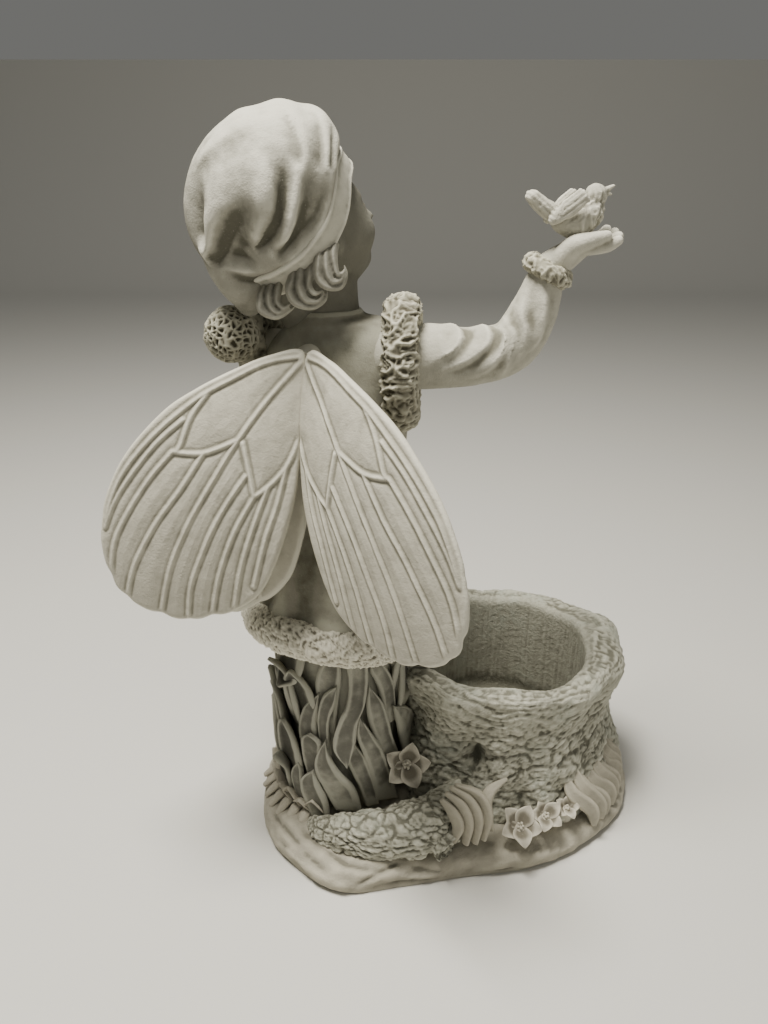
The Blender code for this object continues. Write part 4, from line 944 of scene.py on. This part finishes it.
def hand(wrist, palm, ahead, aside, curl):
    """A palm, four fingers and a thumb, of tubes in one skin. ahead points along the fingers.

    aside points away from the thumb, and the fingers curl more the farther they are from it.
    """
    wrist, palm = np.asarray(wrist, float), np.asarray(palm, float)
    ahead, aside = unit(ahead), unit(aside)
    face = unit(np.cross(ahead, aside))
    form = Form(tube([wrist, 0.6 * wrist + 0.4 * palm, palm], [12, 12.5, 14], face, [11, 10.5, 8]))
    form.add(tube([palm - ahead * 6, palm + ahead * 8], [14, 13.5], face, [7, 5.5]))
    for n in range(4):
        root = palm + ahead * 8 + aside * 6.6 * (n - 1.4)
        tip = root + ahead * (17, 19, 18, 14)[n] + face * curl * (0.4 + 0.3 * n)
        form.add(tube([root - ahead * 8, (root + tip) / 2 - face * 0.2 * curl, tip], [5.2, 4.7, 3.6], face))
    thumb = [
        wrist + 0.35 * (palm - wrist) - aside * 5, palm - ahead * 6 - aside * 11 + face * 0.3 * curl,
        palm + ahead * 4 - aside * 13.5 + face * 0.7 * curl, palm + ahead * 16 - aside * 13 + face * curl,
    ]
    form.add(tube(thumb, [9, 7.4, 5.8, 3.8], face))
    return form.fused(1.15, 6)


def hands():
    """The raised right hand, palm up under the bird, and the left hand on the knee."""
    right = hand((57, -20, 493), (77, -21, 507), (1, 0, 0.10), (0, 1, 0), 7)
    return right.join(hand((-146, 101, 293), (-134, 113, 274), (0.35, 0.45, -0.8), (-0.8, 0.6, 0), -3))


def legs():
    """Legs bent over the front of the seat, in boots with turned-up toes: tubes in one skin.

    Sines down the legs, moved by noise, wrinkle the boots' shafts.
    """
    sole = GROUND_THICKNESS + 4
    middle = (SEAT_TOP + sole) / 2
    form = Form()
    for hip_x, knee_x, ankle_x, y in ((-128, -129, -131, 0), (-80, -82, -80, -4)):
        hip = (hip_x, 28 + y, SEAT_TOP + 26)
        thigh = (hip_x, 60 + y, SEAT_TOP + 27)
        knee = (knee_x, 92 + y, SEAT_TOP + 17)
        shin = ((knee_x + ankle_x) / 2, 102 + y, middle + 20)
        ankle = (ankle_x, 100 + y, sole + 26)
        form.add(tube([hip, thigh, knee, shin, ankle], [31, 29, 26, 21, 16], BODY_FRONT, around=64, steps=90))
        boot = [(ankle_x, 92 + y, sole + 10), (ankle_x, 114 + y, sole + 8), (ankle_x, 134 + y, sole + 7)]
        boot.append((ankle_x + 1, 143 + y, sole + 20))
        form.add(tube(boot, [15, 16, 12, 4], UP, [13, 11, 9, 4], around=64, steps=70))
    form = form.fused(3.6, 4)
    wrinkle = np.sin(form.points[:, 2] / 4.2 + 2 * noise(form.points, 25, 4))
    low = rising(form.points[:, 2], 130, 100) * rising(form.points[:, 2], 40, 60)
    return form.push(0.5 * wrinkle * low)


HEAD_MIDDLE = np.array([-112.0, 6.0, 518.0])

# The band's middle and the way that it faces, with two directions across that way
BAND_MIDDLE = np.array([-125.0, -1.0, 524.0])
BAND_FACING = unit((0.507, 0.600, -0.619))
BAND_UP = unit(UP - BAND_FACING * BAND_FACING[2])
BAND_SIDE = np.cross(BAND_FACING, BAND_UP)

# The hat's middle, its radius, the way to the gather at its tail, and the way that it is drawn out
HAT_MIDDLE = np.array([-136.5, -14.0, 539.5])
HAT_RADIUS = 57.0
HAT_GATHER = unit((-0.26, -0.40, -0.88))
HAT_LEAN = unit((1.0, 0.0, 1.0))

# Each fold of the hat: its height, the reach of its left and right flanks, and its crest from brow to gather
HAT_FOLDS = [
    (1.8, 5, 9, [(-128, -56, 584), (-141, -53, 583), (-161, -51, 575), (-173, -48, 567), (-182, -43, 557)]),
    (7.4, 4, 13, [
        (-140, -71, 535), (-150, -69, 538), (-160, -66, 535), (-168, -61, 526), (-174, -56, 515),
        (-178, -50, 504), (-179, -44, 495),
    ]),
    (-7.5, 9, 12, [(-172, -54, 564), (-181, -53, 550), (-184, -53, 537), (-183, -52, 523), (-181, -48, 508)]),
    (-10, 17, 18, [
        (-140, -71, 540), (-149, -69, 526), (-155, -64, 514), (-159, -58, 502), (-159, -52, 492),
    ]),
    (7.4, 4, 11, [
        (-146, -60, 576), (-138, -67, 562), (-132, -71, 550), (-131, -71, 537), (-133, -70, 526),
        (-139, -68, 514), (-147, -64, 503),
    ]),
    (-8.2, 7, 7, [
        (-117, -60, 574), (-119, -65, 562), (-122, -68, 551), (-126, -70, 538), (-131, -69, 526),
        (-137, -67, 514), (-146, -63, 504),
    ]),
    (6.4, 4, 11, [
        (-115, -58, 576), (-114, -65, 560), (-116, -67, 546), (-118, -67, 533), (-121, -64, 520),
        (-129, -60, 505),
    ]),
    (-7.2, 6, 12, [
        (-95, -50, 568), (-96, -58, 550), (-99, -59, 535), (-107, -60, 521), (-118, -60, 510),
        (-132, -57, 501),
    ]),
    (-2.8, 3, 9, [(-128, -12, 602), (-124, -36, 594), (-119, -50, 583), (-114, -60, 570), (-112, -64, 556)]),
    (-3.2, 3, 8, [(-108, -8, 601), (-104, -32, 594), (-101, -45, 582), (-99, -52, 570), (-99, -58, 555)]),
    (-2.8, 3, 7, [(-94, -10, 594), (-92, -30, 586), (-91, -40, 577), (-91, -48, 566), (-92, -53, 555)]),
]

# Bearings round the band, how far ahead of its middle it lies there, and its half width
BAND_PLACES = [
    (0, 2, 7), (0.6, -9, 8), (1.1, -20, 10), (1.45, -15, 11), (1.8, -10, 9), (2.3, -6, 11), (2.8, -4, 12),
    (math.pi, -2, 11),
]


def band_place(turn):
    """How far ahead of its middle point the band lies, and its half width, at a bearing round it."""
    bearings, ahead, half = np.array(BAND_PLACES).T
    turn = np.abs(np.angle(np.exp(1j * turn)))
    return np.interp(turn, bearings, ahead), np.interp(turn, bearings, half)


def hat():
    """The slouched hat: a ball drawn out upwards, tucked in behind its band, and gathered into a tail.

    Powers of a sine pleat the ball round its gather. Nothing lies ahead of the band, and points near it are
    drawn in to its radius. The tail's tubes join it in one skin, on which the folds are laid.
    """
    side = unit(np.cross(HAT_GATHER, (0, 1, 0)))
    axes = np.stack([side, np.cross(HAT_GATHER, side), HAT_GATHER])
    points = ball(HAT_MIDDLE, HAT_RADIUS * np.ones(3), axes, 220, 150)
    turn, rise = globe(220, 150)
    pleat = np.abs(np.sin(4.5 * turn + 0.8 * rise + 0.4)) ** 1.5 - 0.5
    behind = rising((points - HAT_MIDDLE) @ np.array([0.1, 1.0, 0.0]), -10, 25)
    away = (points - HAT_MIDDLE) * (1 + 0.085 * behind * pleat * bell(rise, math.pi / 2, 1.15))[..., None]
    away += HAT_MIDDLE + HAT_LEAN * (away @ HAT_LEAN * 0.16)[..., None] - BAND_MIDDLE
    depth = away @ BAND_FACING
    aside = away - BAND_FACING * depth[..., None]
    ahead, half = band_place(np.arctan2(aside @ BAND_SIDE, aside @ BAND_UP))
    edge = ahead - half + 3
    room = 52 + 13 * np.sqrt(np.clip((edge - depth) / 24, 0, 1))
    tucked = aside * np.minimum(1, room / np.linalg.norm(aside, axis=-1))[..., None]
    depth = np.minimum(depth, ahead + 0.06 * (depth - ahead))
    form = Form(BAND_MIDDLE + tucked + BAND_FACING * depth[..., None])
    tail = [(-164, -24, 520), (-170, -32, 502), (-165, -34, 487), (-159, -31, 477), (-157, -22, 467)]
    form.add(tube(tail, [27, 16, 13, 12, 9], (0, -1, 0), [27, 15, 11, 9, 8], around=64))
    under = [(-138, -24, 512), (-148, -26, 497), (-154, -30, 482)]
    form.add(tube(under, [24, 17, 10], (0, -1, 0), [18, 14, 9], around=48))
    form = form.fused(1.6, 18)
    form.push(folds(form.points, form.normals(), HAT_FOLDS, 0.4))
    at = form.points
    lobes = 0.8 * np.sin((at @ unit((0.8, 0.25, -0.2))) / 3.9 + 0.4) * rising(at[:, 2], 575, 592)
    return form.push(0.3 * rough(at, 16, 3, 7) + lobes - 1.6 * rising(at[:, 2], 582, 598))


def band():
    """The hat's turned band: a squared section with raised rims, carried round the brow, ear and nape."""
    turn = circle(220)
    ahead, half = band_place(turn)
    outward = np.cos(turn)[:, None] * BAND_UP + np.sin(turn)[:, None] * BAND_SIDE
    radius = 51.5 + 2 * np.cos(turn) ** 2
    path = BAND_MIDDLE + outward * radius[:, None] + BAND_FACING * smooth_ring(ahead)[:, None]
    bend = circle(36)
    level = squarer(np.sin(bend), 0.7)
    out = 5 * squarer(np.cos(bend), 0.5) + 1.5 * (bell(np.abs(level), 0.85, 0.18) - 0.6) * (np.cos(bend) > 0)
    rings = carried(path, outward, out, BAND_FACING[None], smooth_ring(half)[:, None] * level)
    form = Form(rings, looped=True)
    return form.push(0.25 * rough(form.points, 9, 3, 2))


def smooth_ring(values, passes=12):
    """Values round a ring, evened out by taking a share of both neighbours again and again."""
    for _ in range(passes):
        values = 0.5 * values + 0.25 * (np.roll(values, 1) + np.roll(values, -1))
    return values


# Each strand of hair: its half width, and its points from the nape to its turned-up end
STRANDS = [
    (3.4, [
        (-104, -50, 500), (-104, -53, 491), (-99, -54, 485), (-90, -50, 484), (-86, -46, 491),
        (-87, -44, 497),
    ]),
    (3.2, [(-99, -49, 502), (-98, -53, 494), (-95, -54, 488), (-89, -50, 489), (-87, -47, 495)]),
    (2.8, [(-94, -48, 505), (-93, -51, 498), (-91, -52, 492), (-87, -48, 494)]),
    (3.4, [
        (-122, -48, 489), (-124, -52, 482), (-120, -54, 474), (-109, -53, 471), (-101, -49, 475),
        (-99, -47, 481),
    ]),
    (3.4, [(-117, -49, 491), (-117, -53, 484), (-113, -55, 476), (-105, -53, 475), (-101, -50, 481)]),
    (3.0, [(-110, -49, 493), (-111, -52, 485), (-107, -54, 480), (-102, -51, 482)]),
    (3.2, [(-145, -44, 475), (-144, -49, 468), (-135, -50, 464), (-127, -49, 467), (-121, -46, 471)]),
    (3.0, [(-139, -45, 478), (-138, -49, 471), (-133, -51, 467), (-125, -50, 470)]),
    (2.6, [(-133, -46, 480), (-133, -49, 474), (-129, -51, 470), (-124, -49, 473)]),
]


def hair():
    """Three curls of ridged tubes that hang from under the band; their ends turn up together."""
    form = Form()
    for half, strand in STRANDS:
        root = np.array(strand[0]) + (1, 7, 5)
        widths = half * smooth_curve([1.0, 1.1, 0.95, 0.75, 0.55, 0.2], len(strand) + 1)
        form.add(tube([root, *strand], widths, (0, -1, 0), around=20, steps=40, ridge=0.5))
    return form.fused(0.85, 1)


# Each form of the face, alike on both sides: how far aside of and above the head's middle it is, its reach
# aside and upwards, and its height
FACE_FORMS = [
    (0, -11.5, 4.4, 4.8, 7.6), (0, -2, 3.4, 8.5, 3.2), (4.8, -13, 2.8, 2.8, 1.8), (14.5, 0, 8.5, 6.0, -3.0),
    (14, -0.5, 5.8, 3.8, 3.6), (14, -2.6, 5.8, 0.9, -0.9), (14.5, 8.5, 9.5, 2.8, 1.4), (20, -17, 12, 10, 3.4),
    (0, -20.6, 7.0, 2.0, 2.2), (0, -25, 5.6, 2.1, 2.2), (0, -22.8, 8.0, 1.0, -1.2), (0, -37, 10, 8, 6.5),
]


def head():
    """Head and neck. The calm child's face, of everyday proportions, is a sum of soft swellings on an egg."""
    axes = np.stack([HEAD_RIGHT, HEAD_FRONT, HEAD_UP])
    form = Form(ball(HEAD_MIDDLE, (39, 42, 50), axes, 240, 160))
    aside, ahead, above = ((form.points - HEAD_MIDDLE) @ axes.T).T
    relief = 0
    for x, z, wide, tall, height in FACE_FORMS:
        relief = relief + height * bell(abs(aside), x, wide) * bell(above, z, tall)
    form.push(relief * rising(ahead, 4, 16))
    for side in (-1, 1):
        ear = HEAD_MIDDLE + HEAD_RIGHT * side * 37 - HEAD_FRONT * 3 - HEAD_UP * 6
        form.add(ball(ear, (4.5, 6.5, 9.5), axes, 48, 32))
    form.add(tube([(-101, -1, 440), (-102, 1, 465), (-104, 4, 495)], [27, 23, 24], BODY_FRONT, around=64))
    # A mass at the nape, in the same painted-shade stone, fills the shaded gap between the curls and the
    # shoulder.
    form.add(tube([(-110, 4, 444), (-124, -3, 472), (-126, -5, 500)], [20, 20, 20], BODY_FRONT, around=48))
    return form.fused(2.0, 2)


def bobble():
    """The bobble at the end of the tail: a ball with a net raised along the seams between random cells."""
    middle = np.array([-173.0, -13.0, 445.0])
    form = Form(ball(middle, (20.5, 20.5, 20.5), around=120, tall=78))
    near, second = cells(warped(form.points, 6, 1.6, 2), 4.6, 3)
    net = 1 - rising(second - near, 0.05, 0.42)
    return form.push(2.4 * net - 2.0 + 0.8 * rough(form.points, 6, 2, 4))


# Wings

# A wing lies in a plane: each point of its outline and veins is so far to the root's side and so far below it
WING_OUTLINE = [
    (0, 0), (24, 3), (49, 13), (73, 25), (94, 38), (114, 57), (130, 77), (142, 101), (148, 124), (148, 146),
    (143, 165), (134, 178), (121, 187), (107, 192), (90, 196), (72, 193), (55, 189), (43, 182), (31, 170),
    (18, 142), (8, 110), (3, 82), (0, 54), (-2, 28),
]
WING_VEINS = [
    [(2, 4), (25, 8), (50, 20), (72, 32), (100, 54), (121, 76), (133, 94), (143, 118)],
    [(83, 47), (103, 64), (124, 89), (136, 107), (144, 124)],
    [(66, 29), (78, 46), (86, 66), (91, 69)],
    [(91, 69), (109, 89), (127, 115), (138, 136), (143, 160)],
    [(91, 69), (69, 70), (45, 61)],
    [(69, 70), (86, 95), (106, 121), (124, 152), (132, 176)],
    [(0, 6), (25, 34), (45, 61), (61, 86), (79, 115), (97, 152), (108, 190)],
    [(42, 63), (39, 78), (35, 101)],
    [(40, 86), (60, 115), (75, 146), (84, 169), (88, 194)],
    [(35, 101), (49, 125), (60, 152), (66, 173), (70, 192)],
    [(25, 94), (37, 125), (46, 152), (53, 184)],
    [(12, 80), (19, 107), (28, 132), (38, 168)],
    [(35, 101), (25, 94), (12, 80), (3, 62)],
]


def wing(root, out, down, back, scale=1.0, wide=1.0, veins=WING_VEINS, columns=400, rows=90):
    """A cupped sheet with raised veins between engraved lines. out and down span it; back is the seen side.

    Both faces are the outline, drawn in towards the middle ring by ring. A paraboloid cups them, half of an
    ellipse rounds their edge, and humps by the distance to the nearest vein raise the seen one.
    """
    out, down, back = unit(out), unit(down), unit(back)
    fine = smooth_curve(WING_OUTLINE, 960, closed=True)
    length = np.concatenate([[0], np.cumsum(np.linalg.norm(np.diff(fine, axis=0), axis=1))])
    weight = np.cumsum(np.where((length > 150) & (length < 420), 1.6, 1.0))
    even = np.linspace(0, weight[-1], columns, endpoint=False)
    outline = np.stack([np.interp(even, weight, fine[:, n]) for n in range(2)], -1)
    middle = np.array([66.0, 104.0])
    lines = [smooth_curve(vein, 4 * len(vein)) for vein in veins]
    scallop = np.full(columns, 1e9)
    for line in lines:
        scallop = np.minimum(scallop, np.linalg.norm(outline - line[-1], axis=1))
    lobed = middle + (outline - middle) * (1 - 0.018 * bell(scallop, 0, 5))[:, None]

    def sheet(count, outward):
        """One face of the wing in so many rings: outward is 1 for the seen face and -1 for the other."""
        shares = 1 - np.linspace(0, 0.99, count) ** 1.15
        flat = middle + (lobed - middle) * shares[:, None, None]
        edge, _, _ = along_line(flat, lobed[::3])
        edge = edge * (shares < 1)[:, None]
        thin = 0.5 * WING_THICKNESS * np.sqrt(1 - np.clip(1 - edge / 4.5, 0, 1) ** 2)
        cup = 11 * (1 - (((flat - middle) / 95) ** 2).sum(-1))
        near = np.full(flat.shape[:-1], 1e9)
        for line in lines:
            near = np.minimum(near, along_line(flat, line)[0])
        flat_point = np.concatenate([flat, 0 * flat[..., :1]], -1)
        relief = 1.25 * bell(near, 0, 1.35) - 0.55 * bell(near, 2.9, 1.0) + 0.9 * rising(near, 3, 13)
        relief = relief + 0.25 * rough(flat_point, (9, 30, 9), 2, 3)
        relief = relief * rising(edge, 0, 5) + 0.35 * bell(edge, 1.5, 1.6)
        return np.concatenate([flat, (cup + outward * thin + relief * (outward > 0))[..., None]], -1)

    front, rear = sheet(rows, 1), sheet(rows // 7, -1)
    grid = np.concatenate([front[::-1], rear[1:]])
    place = root + scale * (grid[..., :1] * wide * out + grid[..., 1:2] * down + grid[..., 2:] * back)
    form = Form(place)
    return form.push(0.18 * rough(form.points, 22, 3, 5))


def wings():
    """Fore wings swept back from the shoulders, and smaller hind wings between them and the body."""
    root = np.array([-116.6, -56.0, 441.6])
    lean = 0.22
    down = (0, -lean, -1)
    yield "fore_wing_left", wing(root, (-1, 0, 0), down, (0, -1, lean))
    swept = math.radians(-40)
    back = outwards(swept - math.pi / 2) + UP * lean
    yield "fore_wing_right", wing(root, outwards(swept), down, back, wide=0.97)
    hind = root + (2, 18, -22)
    smaller = dict(columns=120, rows=30, veins=WING_VEINS[3:10])
    form = wing(hind, (-0.62, 0.1, -0.25), (0.06, -0.18, -1), (0, -1, 0.2), 0.83, **smaller)
    form.join(wing(hind, (0.6, -0.3, -0.2), (-0.05, -0.16, -1), (-0.5, -0.8, 0.2), 0.82, **smaller))
    form.add(tube([(-114, -34, 430), (-115, -44, 415), (-114, -46, 385)], [12, 13, 9], (0, -1, 0)))
    yield "hind_wings", form


def bird():
    """A small bird with a cocked, two-lobed tail and raised wings: tubes and balls in one skin.

    Wool-like curls cover its breast, and powers of a sine rule quills on its wings and tail.
    """
    y = -21.0
    form = Form(tube([(64, y, 524), (74, y, 523), (82, y, 530)], [9.5, 12, 10], UP, [8, 11, 10], around=48))
    form.add(ball((85, y, 541), (7.6, 7.4, 7.6), around=40, tall=28))
    form.add(tube([(90, y, 543.5), (97, y, 547)], [2.6, 1.0], steps=8))
    form.add(tube([(90, y, 541.5), (96, y, 541.5)], [2.4, 1.0], steps=8))
    for side in (-1, 1):
        cocked = [(63, y + 3 * side, 526), (51, y + 3.5 * side, 533), (42, y + 4 * side, 540)]
        form.add(tube(cocked, [4.6, 5.2, 4.4], (0.5, 0, 1), [6.2, 5.6, 4.4], around=24))
        lifted = [(55, y + side * 9, 525), (65, y + side * 12, 533), (74, y + side * 14, 541)]
        form.add(tube(lifted, [3.4, 6.0, 5.4], (0, side, 0.3), [2.6, 3.0, 2.4], around=32))
        form.add(ball((87, y + side * 6.2, 542.5), (1.5, 1.2, 1.5), around=16, tall=12))
        form.add(tube([(76, y + side * 4, 516), (76, y + side * 4, 508)], [4, 4], BODY_FRONT, steps=8))
    form = form.fused(0.85, 2)
    at = form.points
    breast = rising(at[:, 0], 70, 78) * rising(at[:, 2], 547, 538)
    strand = curls(at, (2.8, 2.8, 6.0), 8)
    tail = rising(at[:, 0], 61, 56)
    quill = np.abs(np.sin(0.62 * at[:, 0] * (2 * tail - 1) + 0.78 * at[:, 2])) ** 0.6
    feathered = rising(at[:, 0], 77, 73) * rising(at[:, 2], 522, 526)
    height = 1.5 * breast * (strand - 0.45) + 0.7 * feathered * (quill - 0.6)
    return form.push(height + 0.25 * rough(at, 3, 2, 3))


# Materials


class Wash:
    """A socket of a material's nodes. Sums and products of it add Math nodes, and node() adds any other."""

    def __init__(self, tree, socket=None):
        self.tree = tree
        self.socket = socket

    def node(self, kind, settings=(), sockets=(), out=0):
        """A new node of a kind, with its settings, its inputs by name or number, and the output to use."""
        made = self.tree.nodes.new(kind)
        for name, value in dict(settings).items():
            setattr(made, name, value)
        for key, value in dict(sockets).items():
            if isinstance(value, Wash):
                self.tree.links.new(value.socket, made.inputs[key])
            else:
                made.inputs[key].default_value = value
        return Wash(self.tree, made.outputs[out])

    def math(self, operation, *values):
        """A Math node of two values."""
        return self.node("ShaderNodeMath", {"operation": operation}, dict(enumerate(values)))

    def __add__(self, other):
        return self.math("ADD", self, other)

    def __sub__(self, other):
        return self.math("SUBTRACT", self, other)

    def __rsub__(self, other):
        return self.math("SUBTRACT", other, self)

    def __mul__(self, other):
        return self.math("MULTIPLY", self, other)

    __radd__ = __add__
    __rmul__ = __mul__

    def step(self, low, high):
        """0 below low, 1 above high, and an S between."""
        settings = {"interpolation_type": "SMOOTHSTEP"}
        return self.node("ShaderNodeMapRange", settings, {0: self, 1: low, 2: high})

    def mix(self, first, second):
        """The first colour, and the second where this is 1."""
        return self.node("ShaderNodeMix", {"data_type": "RGBA"}, {0: self, 6: first, 7: second}, out=2)


def rgb(red, green, blue):
    """A solid colour."""
    return (red, green, blue, 1.0)


def stone(name, pale, body, deep, tint=None, grit=1.0, painted_relief_shading=1.0, painted_top_light=0.0, crag=0.0):
    """Cast stone: the body colour, painted shade in hollows, painted highlights on crests, and fine grit and
    pits.

    Its level is the sum of a point's rise over the skin round it, its upward side and two noises. Low levels
    are deep and high ones pale, so hollows get painted shade and crests painted highlights. One amount sets
    how strongly the rise paints them, and another how much paler the upward sides are painted than the lower
    ones, as painted top light; below 0 it paints them darker. crag is how deep its broken grain is.
    """
    pale, body, deep = rgb(*pale), rgb(*body), rgb(*deep)
    material = bpy.data.materials.new(name)
    material.use_nodes = True
    tree = material.node_tree
    tree.nodes.clear()
    sheet = Wash(tree)
    place = sheet.node("ShaderNodeTexCoord", out=3)

    def speckle(scale, detail=3.0, roughness=0.55):
        """Smooth noise, scaled per metre, with so many finer layers on it."""
        sockets = {"Vector": place, "Scale": scale, "Detail": detail, "Roughness": roughness}
        return sheet.node("ShaderNodeTexNoise", (), sockets)

    rise = sheet.node("ShaderNodeAttribute", {"attribute_name": "rise"}, out=2)
    upward = sheet.node("ShaderNodeAttribute", {"attribute_name": "upward"}, out=2)
    mottle, cloud, fine = speckle(22), speckle(120), speckle(620, 2.0)
    # Painted shade in hollows and painted highlights on crests follow the rise; painted top light follows the
    # upward side.
    level = rise * (1.4 * painted_relief_shading) + (cloud - 0.5) * 0.9 + (mottle - 0.5) * 0.7 + upward * painted_top_light
    colour = level.step(-0.75, 0.15).mix(deep, body)
    colour = level.step(0.05, 0.95).mix(colour, pale)
    if tint:
        tint = rgb(*tint)
        colour = (mottle.step(0.45, 0.75) * cloud.step(0.35, 0.7) * 0.8).mix(colour, tint)
    flecks = speckle(1300, 1.0)
    colour = (flecks.step(0.70, 0.76) * 0.55 * grit).mix(colour, pale)
    colour = ((1 - flecks.step(0.25, 0.31)) * 0.5 * grit).mix(colour, deep)
    bump = fine * 0.6 + cloud * 0.8 + flecks * 0.4 + speckle(240, 5.0, 0.72) * (3.0 * crag)
    normal = sheet.node("ShaderNodeBump", (), {"Strength": 0.5 * grit, "Distance": 0.0009, "Height": bump})
    dullness = 0.8 + 0.14 * fine
    looks = {"Base Color": colour, "Roughness": dullness, "Normal": normal, "Specular IOR Level": 0.25}
    shader = sheet.node("ShaderNodeBsdfPrincipled", (), looks)
    tree.links.new(shader.socket, tree.nodes.new("ShaderNodeOutputMaterial").inputs[0])
    return material


# Each stone's pale, body and deep colours
figure_stone = stone("figure_stone", (0.62, 0.60, 0.51), (0.45, 0.436, 0.366), (0.18, 0.172, 0.132), crag=0.2)
# The hat is painted paler on its upward sides and darker below them: painted top light and painted shade.
hat_stone = stone(
    "hat_stone", (0.56, 0.544, 0.464), (0.31, 0.30, 0.251), (0.10, 0.096, 0.073),
    painted_relief_shading=0.5, painted_top_light=0.85, crag=0.2,
)
band_stone = stone("band_stone", (0.64, 0.62, 0.53), (0.52, 0.505, 0.425), (0.18, 0.172, 0.135))
hair_stone = stone("hair_stone", (0.52, 0.505, 0.43), (0.28, 0.27, 0.225), (0.10, 0.096, 0.073), painted_relief_shading=0.7)
wing_stone = stone("wing_stone", (0.58, 0.56, 0.47), (0.43, 0.41, 0.34), (0.22, 0.21, 0.165), crag=0.25)
fur_stone = stone("fur_stone", (0.50, 0.48, 0.38), (0.30, 0.285, 0.22), (0.08, 0.072, 0.05))
# Painted light: the hem's stone is a paler copy of the fur's, lightening the hem where the wings shade it.
hem_stone_painted_light = stone("hem_stone_painted_light", (0.78, 0.75, 0.63), (0.60, 0.57, 0.465), (0.16, 0.147, 0.11))
tunic_stone = stone("tunic_stone", (0.42, 0.41, 0.33), (0.27, 0.26, 0.21), (0.11, 0.105, 0.075))
# Painted shade: the face and neck are painted dark for the shade that they lie in.
shaded_skin_stone = stone("shaded_skin_stone", (0.29, 0.282, 0.234), (0.175, 0.17, 0.138), (0.09, 0.086, 0.066), painted_relief_shading=0.4)
# The bark is painted darker on its upward sides, the rim's top most of all: painted shade.
bark_stone = stone(
    "bark_stone", (0.56, 0.55, 0.46), (0.395, 0.388, 0.316), (0.15, 0.146, 0.112),
    tint=(0.38, 0.40, 0.335), painted_relief_shading=0.65, painted_top_light=-0.5, grit=1.4, crag=1.0,
)
leaf_stone = stone(
    "leaf_stone", (0.35, 0.344, 0.285), (0.125, 0.121, 0.10), (0.05, 0.048, 0.037),
    painted_relief_shading=0.7, crag=0.15,
)
ground_stone = stone(
    "ground_stone", (0.44, 0.41, 0.33), (0.335, 0.315, 0.255), (0.17, 0.16, 0.125),
    painted_relief_shading=0.5, grit=1.3, crag=0.4,
)
bloom_stone = stone("bloom_stone", (0.52, 0.49, 0.405), (0.41, 0.383, 0.315), (0.16, 0.146, 0.112), painted_relief_shading=0.9)

# The statue

ground().make("ground", ground_stone)
stump().make("stump", bark_stone)
limb().make("limb_and_roots", bark_stone)
seat().make("leafy_seat", leaf_stone, 40)
blooms().make("flowers", bloom_stone)
foliage().make("foliage", ground_stone)
tunic().make("tunic", tunic_stone)
hem().make("fur_hem", hem_stone_painted_light)
for name, form in zip(("fur_armhole_right", "fur_armhole_left"), armholes()):
    form.make(name, fur_stone)
cuffs().make("fur_cuffs", fur_stone)
for name, form in zip(("sleeve_right", "sleeve_left"), sleeves()):
    form.make(name, figure_stone)
hands().make("hands", figure_stone)
legs().make("legs_and_boots", figure_stone)
hat().make("hat", hat_stone, 30)
band().make("hat_band", band_stone)
hair().make("hair", hair_stone, 12)
head().make("head", shaded_skin_stone, 12)
bobble().make("bobble", fur_stone)
for name, form in wings():
    form.make(name, wing_stone)
bird().make("bird", figure_stone)


# Floor, light and camera


def floor():
    """A plain pale floor, in metres: level for a share of its run, then a quarter of a circle up behind."""
    near, far, radius, half_width, below = -2.5, 3.5, 1.2, 4, 0.0006
    level = 0.6
    run = np.linspace(0, 1, 60)
    bend = np.clip((run - level) / (1 - level), 0, 1) * math.pi / 2
    y = near + (far - near) * np.minimum(run / level, 1) + radius * np.sin(bend)
    z = radius * (1 - np.cos(bend)) - below
    x = np.linspace(-half_width, half_width, 20)
    grid = np.stack(np.broadcast_arrays(x, y[:, None], z[:, None]), -1)
    index = np.arange(grid.size // 3).reshape(grid.shape[:2])
    quads = np.stack([index[:-1, :-1], index[:-1, 1:], index[1:, 1:], index[1:, :-1]], -1).reshape(-1, 4)
    mesh = bpy.data.meshes.new("floor")
    mesh.from_pydata(grid.reshape(-1, 3).tolist(), [], quads.tolist())
    mesh.shade_smooth()
    material = bpy.data.materials.new("pale_floor")
    material.use_nodes = True
    shader = material.node_tree.nodes["Principled BSDF"]
    shader.inputs["Base Color"].default_value = rgb(0.62, 0.61, 0.57)
    shader.inputs["Roughness"].default_value = 0.7
    mesh.materials.append(material)
    new_object("floor", mesh)


WARM_WHITE = (1.0, 0.96, 0.87)


def soft_light(name, place, target, size, power):
    """A square soft box at a place, aimed at a target."""
    light = bpy.data.lights.new(name, "AREA")
    light.energy, light.size, light.color = power, size, WARM_WHITE
    thing = new_object(name, light)
    thing.location = place
    thing.rotation_euler = (Vector(target) - thing.location).to_track_quat("-Z", "Y").to_euler()


floor()
soft_light("key", (-0.40, -0.22, 1.90), (-0.05, 0, 0.30), 0.55, 72)
soft_light("fill", (1.3, -1.0, 0.9), (-0.02, 0, 0.3), 1.2, 5)

world = bpy.data.worlds.new("studio")
bpy.context.scene.world = world
world.use_nodes = True
world.node_tree.nodes["Background"].inputs[0].default_value = rgb(0.80, 0.80, 0.76)
world.node_tree.nodes["Background"].inputs[1].default_value = 0.20

# The photo's camera: focal length over the photo's longer side, place in metres, and how far it looks down
PHOTO_FOCUS = 769 / 1024
CAMERA_PLACE = (-0.060, -0.591, 0.552)
CAMERA_PITCH = math.radians(23.5)

lens = bpy.data.cameras.new("camera")
lens.sensor_width = 36
lens.lens = PHOTO_FOCUS * lens.sensor_width
lens.clip_start = 0.01
camera = new_object("camera", lens)
camera.location = CAMERA_PLACE
camera.rotation_euler = (math.pi / 2 - CAMERA_PITCH, 0, 0)
bpy.context.scene.camera = camera
